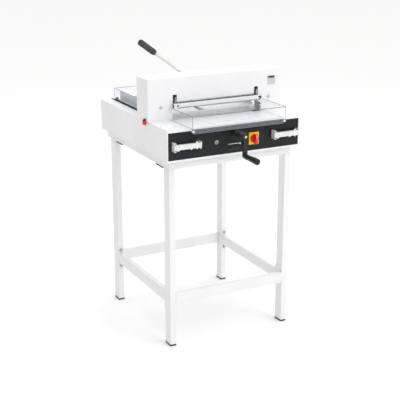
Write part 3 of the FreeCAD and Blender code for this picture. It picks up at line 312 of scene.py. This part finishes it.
def dress_cad_nodes():
    """Gives every CAD node its finish, and broken edges to those that are sheet, tube or block."""
    finish = {}
    for part in frame["record"]["subparts"]:
        finish[part["node"]] = part["material_slot"]
    for node, obj in frame["nodes"].items():
        obj.data.materials.clear()
        obj.data.materials.append(OWN_FINISH.get(node, M[finish[node]]))
        if node in BEVELS:
            weld = obj.modifiers.new("Joined", "WELD")
            weld.merge_threshold = 1e-5
            soft = obj.modifiers.new("BrokenEdge", "BEVEL")
            soft.width = BEVELS[node] * MM
            soft.segments = 2
            soft.limit_method = "ANGLE"
            soft.angle_limit = math.radians(40)
            soft.use_clamp_overlap = True
            soft.harden_normals = True


dress_cad_nodes()


# ---------------------------------------------------------------- mesh tools, in millimetres

def piece(name, bm, body, material, bevel=0.0, sharp=35.0):
    """A finished mesh piece that rides on a CAD body. The mesh is in millimetres."""
    bmesh.ops.recalc_face_normals(bm, faces=bm.faces)
    bmesh.ops.scale(bm, vec=(MM, MM, MM), verts=bm.verts)
    mesh = bpy.data.meshes.new(name)
    bm.to_mesh(mesh)
    bm.free()
    mesh.materials.append(material)
    for face in mesh.polygons:
        face.use_smooth = True
    mesh.set_sharp_from_angle(angle=math.radians(sharp))
    obj = bpy.data.objects.new(name, mesh)
    bpy.context.scene.collection.objects.link(obj)
    if bevel:
        soft = obj.modifiers.new("BrokenEdge", "BEVEL")
        soft.width = bevel * MM
        soft.segments = 3
        soft.limit_method = "ANGLE"
        soft.angle_limit = math.radians(35)
        soft.harden_normals = True
    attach(obj, body)
    return obj


def add_block(bm, low, high):
    """A box between two corners."""
    corners = []
    for x in (low[0], high[0]):
        for y in (low[1], high[1]):
            for z in (low[2], high[2]):
                corners.append(bm.verts.new((x, y, z)))
    for ring in ((0, 1, 3, 2), (4, 6, 7, 5), (0, 4, 5, 1), (2, 3, 7, 6), (0, 2, 6, 4), (1, 5, 7, 3)):
        bm.faces.new([corners[i] for i in ring])


def add_turned(bm, origin, axis, profile, segments=40):
    """A turned shape: profile is (distance along the axis, radius) pairs from one end to the other."""
    axis = Vector(axis).normalized()
    side = axis.orthogonal().normalized()
    other = axis.cross(side)
    rings = []
    for along, radius in profile:
        centre = Vector(origin) + axis * along
        if radius < 1e-6:
            rings.append([bm.verts.new(centre)])
            continue
        ring = []
        for step in range(segments):
            angle = 2 * math.pi * step / segments
            ring.append(bm.verts.new(centre + (side * math.cos(angle) + other * math.sin(angle)) * radius))
        rings.append(ring)
    for first, second in zip(rings, rings[1:]):
        for step in range(segments):
            after = (step + 1) % segments
            if len(first) == 1:
                bm.faces.new((first[0], second[step], second[after]))
            elif len(second) == 1:
                bm.faces.new((first[step], second[0], first[after]))
            else:
                bm.faces.new((first[step], second[step], second[after], first[after]))
    for ring in (rings[0], rings[-1]):
        if len(ring) > 1:
            bm.faces.new(ring)


def add_prism(bm, points, axis, start, end):
    """A flat outline carried along one axis. Points are the two other coordinates in X, Y, Z order."""
    def corner(pair, level):
        first, second = pair
        return {"x": (level, first, second), "y": (first, level, second), "z": (first, second, level)}[axis]
    near = [bm.verts.new(corner(p, start)) for p in points]
    far = [bm.verts.new(corner(p, end)) for p in points]
    bm.faces.new(near)
    bm.faces.new(far)
    for index in range(len(points)):
        after = (index + 1) % len(points)
        bm.faces.new((near[index], near[after], far[after], far[index]))


def round_box(half_wide, half_high, radius, steps=6):
    """The outline of a rectangle with rounded corners, about the origin."""
    points = []
    for turn, (sx, sz) in enumerate(((1, 1), (-1, 1), (-1, -1), (1, -1))):
        for step in range(steps + 1):
            angle = math.pi / 2 * (turn + step / steps)
            points.append((sx * (half_wide - radius) + radius * math.cos(angle),
                           sz * (half_high - radius) + radius * math.sin(angle)))
    return points


def shifted(points, dx, dz):
    """An outline moved in its own plane."""
    return [(x + dx, z + dz) for x, z in points]


def ring_profile(length, radius, run, drop):
    """The outline of a ring or rod for add_turned, its ends falling by drop over run."""
    return [(0, radius - drop), (run, radius), (length - run, radius), (length, radius - drop)]


def screw(name, at, out, radius, body, material, head=2.2, socket=True):
    """A cap screw, its head standing along out, with a round socket or else a domed top."""
    bm = bmesh.new()
    edge = radius * 0.12
    profile = [(0, radius), (head - edge, radius), (head, radius - edge)]
    if socket:
        profile += [(head, radius * 0.52), (head * 0.35, radius * 0.5), (head * 0.3, 0)]
    else:
        profile += [(head + radius * 0.18, radius * 0.5), (head + radius * 0.24, 0)]
    add_turned(bm, at, out, profile, 24)
    return piece(name, bm, body, material, sharp=28)


# ---------------------------------------------------------------- head and guard bar

HEAD_FACE = mm_box("head_front")[0].y
TABLE_TOP = mm_box("table_front")[1].z

# The slots in the head's front: their centre from the middle, and the heights of the mouth and of the slots.
ARM_X = 193.5
MOUTH_TOP = TABLE_TOP + 74
SLOT_TOP = TABLE_TOP + 104


def make_slots():
    """The black liner of each slot in the head, with its closed back."""
    opening, sleeve, flange = 6.6, 7.9, 8.8
    foot = MOUTH_TOP - 3
    flange_front, flange_top = HEAD_FACE - 0.9, SLOT_TOP + 0.6
    sleeve_back, sleeve_top = HEAD_FACE + 7, SLOT_TOP - 0.2
    back_thick = 1.4
    closed = sleeve_back - back_thick
    layers = ((flange, flange_front, HEAD_FACE, SLOT_TOP - 2.2, flange_top),
              (sleeve, HEAD_FACE, sleeve_back, SLOT_TOP - 1.5, sleeve_top))
    for side, centre in (("left", -ARM_X), ("right", ARM_X)):
        bm = bmesh.new()
        for half, front, back, bar, top in layers:
            add_block(bm, (centre - half, front, foot), (centre - opening, back, top))
            add_block(bm, (centre + opening, front, foot), (centre + half, back, top))
            add_block(bm, (centre - half, front, bar), (centre + half, back, top))
        add_block(bm, (centre - sleeve, closed, foot), (centre + sleeve, sleeve_back, sleeve_top))
        piece("slot_liner_" + side, bm, "machine", M["plastic_black"], bevel=0.3)


make_slots()


def make_bar_fittings():
    """The blacked rod behind the guard bar, dark partly as painted shade of the gap above the bar, its clips,
    the bar's end screws and the pivot spacers.
    """
    bar_low, bar_high = mm_box("guard_bar")
    rod_half, rod_radius = 186.0, 3.2
    rod_y = bar_high.y + 4.6
    rod_z = bar_high.z + 1.5
    # The rod's dark colour is partly painted shade of the gap between the guard bar and the head.
    bm = bmesh.new()
    add_turned(bm, (-rod_half, rod_y, rod_z), X_AXIS, ring_profile(2 * rod_half, rod_radius, 0.6, 0.6), 20)
    piece("guard_rod_and_gap_shade", bm, "machine", DARK_STEEL_AND_GAP_SHADE)
    clip_long, clip_radius = 8.0, 5.0
    for index, x in enumerate((-118, -40, 58, 132)):
        start, end = x - clip_long / 2, x + clip_long / 2
        bm = bmesh.new()
        add_turned(bm, (start, rod_y, rod_z), X_AXIS, ring_profile(clip_long, clip_radius, 0.8, 0.8), 20)
        add_block(bm, (start, bar_high.y - 0.1, bar_high.z - 9), (end, bar_high.y + 2.2, rod_z))
        piece("rod_clip_%d" % index, bm, "machine", DARK_STEEL_AND_GAP_SHADE, bevel=0.25)
    screws = {"left": (("inner", -187.5, 1013.8),),
              "right": (("low", 201.0, 1005.5), ("high", 200.0, 1016.5))}
    screw_radius = 3.6
    spacer_x, spacer_z = 204.2, 1012.0
    for side, sign in (("left", -1), ("right", 1)):
        for level, x, z in screws[side]:
            screw("bar_screw_%s_%s" % (side, level), (x, bar_low.y, z), -Y_AXIS, screw_radius, "machine",
                  M["plastic_black"])
        bm = bmesh.new()
        add_turned(bm, (sign * spacer_x, bar_low.y + 4, spacer_z), X_AXIS * sign,
                   [(0, 4.2), (0.6, 5.6), (6.4, 5.6), (7.2, 4.4)], 28)
        piece("pivot_spacer_" + side, bm, "machine", M["plastic_black"])


make_bar_fittings()


def make_sensor():
    """The guard's position switch and its foot, on the head inside the guard's right side."""
    left, right, foot_left = 197.5, 209.5, 176.0
    case_front = HEAD_FACE - 13
    boss_front = HEAD_FACE - 15.5
    tongue_front = HEAD_FACE - 17.6
    bm = bmesh.new()
    add_block(bm, (left, case_front, TABLE_TOP + 8), (right, HEAD_FACE, TABLE_TOP + 38))
    add_block(bm, (left + 2, boss_front, TABLE_TOP + 21), (right - 2, case_front, TABLE_TOP + 34))
    add_block(bm, (foot_left, HEAD_FACE - 12, TABLE_TOP + 0.3), (right + 1.5, HEAD_FACE - 1, TABLE_TOP + 5))
    piece("guard_sensor", bm, "machine", M["plastic_black"], bevel=0.8)
    bm = bmesh.new()
    add_block(bm, (left + 3.5, tongue_front, TABLE_TOP + 24.5), (right - 3.5, boss_front, TABLE_TOP + 30.5))
    piece("sensor_tongue", bm, "machine", M["bright_steel"], bevel=0.3)


make_sensor()


def make_badge():
    """A plain plate: a raised rim and a dark band, with nothing written on it."""
    low, high = mm_box("badge_plate")
    middle_x = (low.x + high.x) / 2
    middle_z = (low.z + high.z) / 2
    band_half_wide, band_half_high, band_drop = 15.5, 3.6, 7.5
    rim_half_wide, rim_half_high, rim_wide = 19.0, 20.0, 1.2
    band = round_box(band_half_wide, band_half_high, 0.8)
    bm = bmesh.new()
    add_prism(bm, shifted(band, middle_x - 0.5, high.z - band_drop), "y", low.y - 0.35, low.y + 0.2)
    piece("badge_band", bm, "machine", M["plastic_black"])
    bm = bmesh.new()
    outer = shifted(round_box(rim_half_wide, rim_half_high, 1.6), middle_x, middle_z)
    inner = shifted(round_box(rim_half_wide - rim_wide, rim_half_high - rim_wide, 1.0), middle_x, middle_z)
    rim = []
    for y in (low.y - 0.5, low.y + 0.3):
        rim.append([bm.verts.new((x, y, z)) for x, z in outer])
        rim.append([bm.verts.new((x, y, z)) for x, z in inner])
    count = len(outer)
    for index in range(count):
        after = (index + 1) % count
        for a, b in ((0, 1), (1, 3), (3, 2), (2, 0)):
            bm.faces.new((rim[a][index], rim[a][after], rim[b][after], rim[b][index]))
    piece("badge_rim", bm, "machine", M["bar_silver"])


make_badge()


def make_plugs():
    """Domed caps over the transport bores in the head's front."""
    plug_x, plug_z, plug_front = 257.0, 1010.0, HEAD_FACE - 1.4
    dome = [(0, 7.4), (0.5, 7.4), (1.3, 6.4), (1.8, 4.0), (1.9, 0)]
    for side, x in (("left", -plug_x), ("right", plug_x)):
        bm = bmesh.new()
        add_turned(bm, (x, plug_front, plug_z), -Y_AXIS, dome, 36)
        piece("plug_cap_" + side, bm, "machine", M["badge_grey"])


make_plugs()

# ---------------------------------------------------------------- clear guards

# The clear sheets' edges are drawn as thin opaque strips in the painted-shade edge colours.
EDGE_OUT = 0.1
EDGE_LINE = 1.4


def edge_spans(low, high, cut):
    """The X spans of the left and the right sawn edge of a clear box, cut wide and a hair proud of it."""
    return ((low.x - EDGE_OUT, low.x + cut), (high.x - cut, high.x + EDGE_OUT))


def make_guard_edges():
    """The front guard's sawn edges as strips of painted shade, its lower lip with three beads, and its corner
    clips.
    """
    low, high = mm_box("front_guard")
    top = TABLE_TOP + 54
    wall_low = TABLE_TOP + 4
    rear = mm_box("guard_bar")[0].y - 4
    lip = low.z
    cut = 1.3
    front = low.y - EDGE_OUT
    sides = edge_spans(low, high, cut)
    bm = bmesh.new()
    for x0, x1 in sides:
        add_block(bm, (x0, front, top - EDGE_LINE), (x1, rear, top + EDGE_OUT))
    add_block(bm, (low.x - EDGE_OUT, front, top - EDGE_LINE),
              (high.x + EDGE_OUT, low.y + cut, top + EDGE_OUT))
    piece("guard_top_edge_shade", bm, "guard", DARK_EDGE_SHADE)
    bm = bmesh.new()
    for x0, x1 in sides:
        add_block(bm, (x0, front, lip), (x1, low.y + cut, top))
        add_block(bm, (x0, low.y, wall_low - EDGE_OUT), (x1, rear + 14, wall_low + 0.8))
    piece("guard_side_edge_shade", bm, "guard", PALE_EDGE_SHADE)
    screw_room = 26
    bm = bmesh.new()
    add_block(bm, (low.x + screw_room, rear - 1, top - 4), (high.x - screw_room, rear + 0.2, top + EDGE_OUT))
    piece("guard_rear_edge_shade", bm, "guard", PALE_EDGE_SHADE)
    lip_back = low.y + 13.5
    bm = bmesh.new()
    add_block(bm, (low.x + 4, low.y + 1, lip - 9), (high.x - 4, lip_back, lip))
    add_block(bm, (low.x + 4.2, low.y + 4.2, lip + 3), (high.x - 4.2, lip_back, lip + 7.5))
    piece("guard_lip", bm, "guard", LIP_BAND, bevel=0.5)
    bead_inset, bead_radius = 5, 0.7
    bead_long = high.x - low.x - 2 * bead_inset
    for index, drop in enumerate((1.2, 4.6, 8.2)):
        bm = bmesh.new()
        add_turned(bm, (low.x + bead_inset, low.y + 0.8, lip - drop), X_AXIS,
                   ring_profile(bead_long, bead_radius, 1.0, 0.3), 10)
        piece("lip_bead_%d" % index, bm, "guard", PALE_EDGE_SHADE)
    for side, x0, x1 in (("left", low.x - 1, low.x + 9), ("right", high.x - 9, high.x + 1)):
        bm = bmesh.new()
        add_block(bm, (x0, low.y - 2, lip - 3), (x1, low.y + 8, lip + 4))
        piece("guard_clip_" + side, bm, "guard", LENS, bevel=1.2)


make_guard_edges()


def make_cover_edges():
    """The rear cover's sawn edges as strips of painted shade, the strips it rests on, the seals along its
    foot and its rubber stops.
    """
    low, high = mm_box("rear_cover")
    cut = 1.2
    sides = edge_spans(low, high, cut)
    bm = bmesh.new()
    for x0, x1 in sides:
        add_block(bm, (x0, low.y, high.z - EDGE_LINE), (x1, high.y, high.z + EDGE_OUT))
    add_block(bm, (low.x, high.y - cut, high.z - EDGE_LINE), (high.x, high.y + EDGE_OUT, high.z + EDGE_OUT))
    add_block(bm, (low.x, low.y, high.z - 4), (high.x, low.y + 1, high.z + EDGE_OUT))
    piece("cover_top_edge_shade", bm, "cover", DARK_EDGE_SHADE)
    bm = bmesh.new()
    for x0, x1 in sides:
        add_block(bm, (x0, high.y - cut, low.z), (x1, high.y + EDGE_OUT, high.z))
    piece("cover_corner_edge_shade", bm, "cover", PALE_EDGE_SHADE)
    for side, x0, x1 in (("left", low.x - 3.0, low.x + 5.0), ("right", high.x - 5.0, high.x + 3.0)):
        bm = bmesh.new()
        add_block(bm, (x0, low.y + 6, TABLE_TOP), (x1, high.y + 34, TABLE_TOP + 1.6))
        piece("cover_rest_" + side, bm, "machine", M["rubber_black"], bevel=0.4)
    for side, x0, x1 in (("left", low.x - 0.6, low.x + 4.4), ("right", high.x - 4.4, high.x + 0.6)):
        bm = bmesh.new()
        add_block(bm, (x0, low.y + 20, low.z - 1.2), (x1, high.y - 4, low.z + 3.0))
        piece("cover_seal_" + side, bm, "cover", M["rubber_black"], bevel=0.6)
    stop = [(0, 4), (0.8, 6), (7, 6), (10.5, 4.6), (11.5, 2)]
    for side, x in (("left", low.x + 8), ("right", high.x - 8)):
        bm = bmesh.new()
        add_turned(bm, (x, high.y - 12, low.z + 9), -Z_AXIS, stop, 28)
        piece("cover_stop_" + side, bm, "cover", M["rubber_black"])


make_cover_edges()

# ---------------------------------------------------------------- control panel

PANEL_FACE = mm_box("control_panel")[0].y
INTO_PANEL = PANEL_FACE + 0.5


def make_panel_fittings():
    """The small fittings under the crank: a bright slide, a lamp and a low black pad."""
    slide_x, slide_z = -8, 866.6
    lamp_x, lamp_z = 23, 865.5
    pad_x, pad_z = -6, 845.5
    bm = bmesh.new()
    add_prism(bm, shifted(round_box(25, 1.1, 1.0), slide_x, slide_z), "y", PANEL_FACE - 1.6, INTO_PANEL)
    piece("slide_strip", bm, "machine", M["bar_silver"], bevel=0.3)
    dome = [(0, 3.6), (2.0, 3.6), (2.6, 3.0), (3.2, 1.6), (3.4, 0)]
    bm = bmesh.new()
    add_turned(bm, (lamp_x, INTO_PANEL, lamp_z), -Y_AXIS, dome, 28)
    piece("lamp_lens", bm, "machine", LENS)
    bm = bmesh.new()
    add_prism(bm, shifted(round_box(24, 8, 4), pad_x, pad_z), "y", PANEL_FACE - 1.2, INTO_PANEL)
    add_prism(bm, shifted(round_box(19, 5, 2.5), pad_x, pad_z), "y", PANEL_FACE - 4.0, PANEL_FACE)
    piece("low_black_pad", bm, "machine", M["plastic_black"], bevel=0.7)


make_panel_fittings()


def make_switch_detail():
    """The main switch: corner screws, a raised ring and the knob's pointer."""
    low, high = mm_box("switch_plate")
    centre_x = (low.x + high.x) / 2
    centre_z = (low.z + high.z) / 2
    plate_face = low.y + 0.2
    screw_across, screw_up, screw_radius = 19.5, 21.5, 1.9
    ring = [(0, 21.5), (1.2, 21.5), (1.7, 20.8), (1.7, 18.4), (0, 18.2)]
    bm = bmesh.new()
    add_turned(bm, (centre_x, plate_face, centre_z), -Y_AXIS, ring, 64)
    piece("switch_ring", bm, "machine", M["plate_yellow"])
    for index, (sx, sz) in enumerate(((-1, 1), (1, 1), (-1, -1), (1, -1))):
        at = (centre_x + sx * screw_across, plate_face, centre_z + sz * screw_up)
        screw("switch_screw_%d" % index, at, -Y_AXIS, screw_radius, "machine", M["bright_steel"], head=0.9)
    knob_face = mm_box("switch_knob")[0].y
    pointer = shifted(round_box(1.1, 7, 1.0), centre_x, centre_z + 11.5)
    bm = bmesh.new()
    add_prism(bm, pointer, "y", knob_face - 0.4, knob_face + 0.5)
    piece("switch_pointer", bm, "main_switch", LENS)


make_switch_detail()


def make_crank_detail():
    """Rings, rosette and screw on the crank's hub, a stop stud, and the cap, painted recess shade and rings
    of its grip.
    """
    grip_low, grip_high = mm_box("crank_grip")
    spindle_low, spindle_high = mm_box("spindle")
    axis_x = (grip_low.x + grip_high.x) / 2
    axis_z = (spindle_low.z + spindle_high.z) / 2
    grip_z = (grip_low.z + grip_high.z) / 2
    arm_face = grip_high.y + 0.5
    cap_face = grip_low.y + 0.4
    bm = bmesh.new()
    for along, radius in ((7, 20.0), (18, 17.0), (24, 16.6), (48, 15.4), (66, 15.2)):
        add_turned(bm, (axis_x, PANEL_FACE - along, axis_z), -Y_AXIS, ring_profile(4.0, radius, 0.8, 1.5), 48)
    piece("hub_rings", bm, "crank_body", M["plastic_black"])
    screw("hub_screw", (axis_x, arm_face, axis_z), -Y_AXIS, 5.2, "crank_body", M["chrome"], head=2.6)
    rosette = [(0, 25), (1.6, 25), (3.4, 23), (3.4, 20.4), (0, 20.2)]
    bm = bmesh.new()
    add_turned(bm, (axis_x, PANEL_FACE + 0.4, axis_z), -Y_AXIS, rosette, 56)
    piece("hub_rosette", bm, "machine", M["plastic_black"])
    stud_at = (axis_x - 21, PANEL_FACE - 0.2, axis_z + 24.5)
    screw("stop_stud", stud_at, -Y_AXIS, 3.0, "machine", M["bar_silver"], head=5.0, socket=False)
    cap = [(0, 10.2), (1.2, 9.6), (1.4, 7.0), (0.2, 6.2), (0.2, 0)]
    bm = bmesh.new()
    add_turned(bm, (axis_x, cap_face, grip_z), -Y_AXIS, cap, 40)
    piece("grip_cap", bm, "grip", M["plastic_black"])
    # A near-black disc of painted shade in the recess of the grip's cap.
    bm = bmesh.new()
    add_turned(bm, (axis_x, cap_face, grip_z), -Y_AXIS, [(0, 5.6), (0.5, 5.6), (0.5, 0)], 32)
    piece("grip_recess_shade", bm, "grip", RECESS_SHADE)
    thin_end, thin_growth, thick_end = 10.6, 0.02, 13.15
    bm = bmesh.new()
    for along in (8, 13, 18, 78, 83, 88):
        radius = thick_end if along > 40 else thin_end + along * thin_growth
        ring = ring_profile(2.8, radius, 0.7, 1.2)
        add_turned(bm, (axis_x, grip_high.y - along, grip_z), -Y_AXIS, ring, 40)
    piece("grip_rings", bm, "grip", M["plastic_black"])


make_crank_detail()

# Lugs on a release bar, measured from its left end: where the root starts and ends, where the tip does, and
# how far it reaches.
LUGS_BELOW = ((1, 19, 6, 12, 5.5), (63, 73, 65, 71, 5), (88, 98, 90, 96, 5))
LUG_ABOVE = (87, 98, 89.5, 95.5, 7)


def add_lug(bm, lug, left, edge, way, face):
    """A tapered lug that stands up or down (way 1 or -1) from a bar's edge, sunk a little into the bar."""
    root_start, root_end, tip_start, tip_end, reach = lug
    root, tip = edge - way, edge + way * reach
    outline = [(left + root_start, root), (left + root_end, root),
               (left + tip_end, tip), (left + tip_start, tip)]
    add_prism(bm, outline, "y", face + 2.5, face + 5)


def make_release_detail():
    """Lugs, screws and pins on the two release bars, the eyes in their brackets, and painted shade discs for
    their holes.
    """
    for side, body in (("left", "left_release"), ("right", "right_release")):
        low, high = mm_box("cut_bar_" + side)
        face = low.y
        bm = bmesh.new()
        for lug in LUGS_BELOW:
            add_lug(bm, lug, low.x, low.z, -1, face)
        add_lug(bm, LUG_ABOVE, low.x, high.z, 1, face)
        piece("release_lugs_" + side, bm, body, M["bar_silver"], bevel=0.7)
        screw("release_screw_" + side, (low.x + 11, face, (low.z + high.z) / 2 + 1), -Y_AXIS, 2.8, body,
              M["bright_steel"], head=1.2)
        pin_x, pin_y = high.x + 8.0, face + 7
        bm = bmesh.new()
        add_turned(bm, (pin_x, pin_y, low.z + 3), Z_AXIS, [(0, 0.9), (0.5, 1.3), (17, 1.3), (17.6, 0.9)], 16)
        add_block(bm, (pin_x - 3.8, pin_y - 2, low.z + 8), (pin_x, pin_y + 2, low.z + 12))
        piece("release_pin_" + side, bm, "machine", M["bright_steel"])
        bracket_x, hole_off = low.x - 8.3, 3.5
        # Near-black discs of painted shade stand for the brackets' holes.
        for where, z in (("low", low.z - hole_off), ("high", high.z + hole_off)):
            bm = bmesh.new()
            add_turned(bm, (bracket_x + 4, face, z), -Y_AXIS, [(0, 2.2), (0.6, 2.2), (0.6, 0)], 24)
            piece("bracket_hole_%s_%s" % (side, where), bm, "machine", RECESS_SHADE)
        eye = [(0, 3.8), (0.8, 3.8), (0.8, 2.2), (0, 2.0)]
        bm = bmesh.new()
        add_turned(bm, (bracket_x + 0.2, face + 9, low.z - hole_off), -X_AXIS, eye, 28)
        piece("bracket_eye_" + side, bm, "machine", M["bright_steel"])


make_release_detail()


def make_stick_stem():
    """The black holder that the stick's red pull is fixed to."""
    low, high = mm_box("stick_knob")
    right, top = high.x, high.z
    outline = [(right - 0.2, top - 4), (right - 0.4, top + 7.5), (right - 6.5, top + 7.5),
               (right - 10, top - 0.5), (right - 10, top - 4)]
    bm = bmesh.new()
    add_prism(bm, outline, "y", low.y + 6, high.y - 5)
    piece("stick_stem", bm, "stick", M["plastic_black"], bevel=0.8)


make_stick_stem()

# ---------------------------------------------------------------- lever, stand and rear

LEVER_RISE = math.radians(36.7)


def make_lever_detail():
    """The collar where the lever's grip starts, the cap and ribs of the grip, and the screw in the hub."""
    hub_low, hub_high = mm_box("lever_hub")
    pivot = (hub_low + hub_high) / 2
    along = Vector((-math.cos(LEVER_RISE), 0, math.sin(LEVER_RISE)))
    collar = [(272, 6.2), (273, 8.2), (281.5, 8.6), (282, 7.0)]
    cap = [(364.5, 9.5), (367.3, 9.8), (368.4, 8.4), (368.8, 0)]
    bm = bmesh.new()
    add_turned(bm, pivot, along, collar, 32)
    piece("lever_collar", bm, "lever", M["bright_steel"])
    bm = bmesh.new()
    add_turned(bm, pivot, along, cap, 32)
    piece("lever_cap", bm, "lever", M["plastic_black"])
    first_rib, rib_pitch, rib_count = 293, 7.6, 9
    bm = bmesh.new()
    for rib in range(rib_count):
        start = pivot + along * (first_rib + rib * rib_pitch)
        add_turned(bm, start, along, ring_profile(4.1, 13.5, 0.9, 0.9), 32)
    piece("grip_ribs", bm, "lever", M["grip_dark"])
    screw("lever_screw", (pivot.x, hub_high.y, pivot.z), Y_AXIS, 6.5, "lever", M["bright_steel"], head=3.5)


make_lever_detail()


def make_stand_detail():
    """A washer and a socket head on each bolt of the stand's side rails."""
    low, high = mm_box("rail_bolts")
    bolt_x, bolt_heights = 275.5, (176.0, 252.0)
    washer = [(0, 8.6), (1.1, 8.6), (1.4, 8.2), (1.4, 6.1)]
    count = 0
    for sx in (-1, 1):
        for y, out in ((low.y, 1), (high.y, -1)):
            for z in bolt_heights:
                x = sx * bolt_x
                bm = bmesh.new()
                add_turned(bm, (x, y - 0.05 * out, z), Y_AXIS * out, washer, 28)
                piece("bolt_washer_%d" % count, bm, "machine", M["bright_steel"])
                screw("bolt_head_%d" % count, (x, y + out * 5.9, z), Y_AXIS * out, 5.0, "machine",
                      M["bright_steel"], head=1.6)
                count += 1


make_stand_detail()


def make_rear_detail():
    """The rear panel's screws, a sheet of painted shade at its vent and its blank rating plate, and the
    screws of the head's covers.
    """
    low, high = mm_box("rear_panel")
    inner_x, edge_in = 110, 14
    count = 0
    for x in (low.x + edge_in, -inner_x, inner_x, high.x - edge_in):
        for z in (low.z + 12, high.z - 12):
            screw("rear_screw_%d" % count, (x, high.y, z), Y_AXIS, 3.6, "machine",
                  M["bright_steel"], head=1.8)
            count += 1
    # A near-black sheet of painted shade at the vent.
    bm = bmesh.new()
    add_block(bm, (low.x + 54, low.y - 3, low.z + 26), (low.x + 146, low.y - 0.3, low.z + 112))
    piece("vent_shade", bm, "machine", RECESS_SHADE)
    bm = bmesh.new()
    add_prism(bm, shifted(round_box(34, 20, 2), 40, low.z + 62), "y", high.y - 0.1, high.y + 0.6)
    piece("rating_plate", bm, "machine", M["bar_silver"], bevel=0.2)
    back_low, back_high = mm_box("head_back")
    back_inner_x, back_edge_in = 150, 16
    count = 0
    for x in (back_low.x + back_edge_in, -back_inner_x, back_inner_x, back_high.x - back_edge_in):
        for z in (back_high.z - 14, 1040):
            screw("head_screw_%d" % count, (x, back_high.y, z), Y_AXIS, 3.6, "machine",
                  M["bright_steel"], head=1.8)
            count += 1
    side_x, near, far, low_row, high_row = 316.0, HEAD_FACE + 14, HEAD_FACE + 84, 975, 1108
    for side, out in (("left", -1), ("right", 1)):
        for index, (y, z) in enumerate(((near, low_row), (far, low_row), (near, high_row), (far, high_row))):
            screw("side_screw_%s_%d" % (side, index), (out * side_x, y, z), X_AXIS * out, 3.0, "machine",
                  M["cover_white"], head=1.0)


make_rear_detail()

# ---------------------------------------------------------------- floor, light and camera

FLOOR_HALF = 30.0

def make_floor():
    """A pale floor that runs far past the picture."""
    bm = bmesh.new()
    bmesh.ops.create_grid(bm, x_segments=4, y_segments=4, size=FLOOR_HALF)
    mesh = bpy.data.meshes.new("floor")
    bm.to_mesh(mesh)
    bm.free()
    floor = bpy.data.objects.new("floor", mesh)
    bpy.context.scene.collection.objects.link(floor)
    material, tree, shader, where = graph("PaleFloor")
    patches = span(tree, noise(tree, where, 1.2, 3.0), 0.0, 1.0)
    base = blend_colours(tree, patches, (0.95, 0.95, 0.945), (0.945, 0.945, 0.94))
    tree.links.new(base, shader.inputs["Base Color"])
    shader.inputs["Roughness"].default_value = 0.9
    shader.inputs["Specular IOR Level"].default_value = 0.1
    mesh.materials.append(material)


make_floor()


def area_light(name, at, toward, size, power):
    """A square lamp at a place, turned to face another."""
    data = bpy.data.lights.new(name, "AREA")
    data.shape = "SQUARE"
    data.size = size
    data.energy = power
    light = bpy.data.objects.new(name, data)
    light.location = at
    light.rotation_euler = (Vector(toward) - Vector(at)).to_track_quat("-Z", "Y").to_euler()
    bpy.context.scene.collection.objects.link(light)


def make_lights():
    """A white room, darker toward the machine's left, with a key lamp at the front right and one above."""
    left_strength, right_strength = 0.66, 1.16
    world = bpy.data.worlds.new("studio")
    world.use_nodes = True
    tree = world.node_tree
    background = tree.nodes["Background"]
    background.inputs["Color"].default_value = (1.0, 1.0, 1.0, 1)
    coords = tree.nodes.new("ShaderNodeTexCoord")
    parts = tree.nodes.new("ShaderNodeSeparateXYZ")
    tree.links.new(coords.outputs["Generated"], parts.inputs["Vector"])
    tree.links.new(span(tree, parts.outputs["X"], left_strength, right_strength, -0.8, 0.25),
                   background.inputs["Strength"])
    bpy.context.scene.world = world
    area_light("key", (2.0, -3.6, 3.4), (0, 0, 0.7), 2.6, 42)
    area_light("top", (0.2, 0.3, 4.2), (0, 0, 0.8), 3.0, 40)


make_lights()

view_settings = bpy.context.scene.view_settings
view_settings.view_transform = "Standard"
view_settings.look = "None"
view_settings.exposure = 0.0


def make_camera():
    """The camera at the photograph's place and angle."""
    data = bpy.data.cameras.new("camera")
    data.sensor_width = 36.0
    data.lens = 87.83
    data.clip_end = 200.0
    camera = bpy.data.objects.new("camera", data)
    camera.location = (-1.9235, -3.6371, 1.8604)
    camera.rotation_euler = (math.radians(72.357), 0, math.radians(-27.473))
    bpy.context.scene.collection.objects.link(camera)
    bpy.context.scene.camera = camera


make_camera()
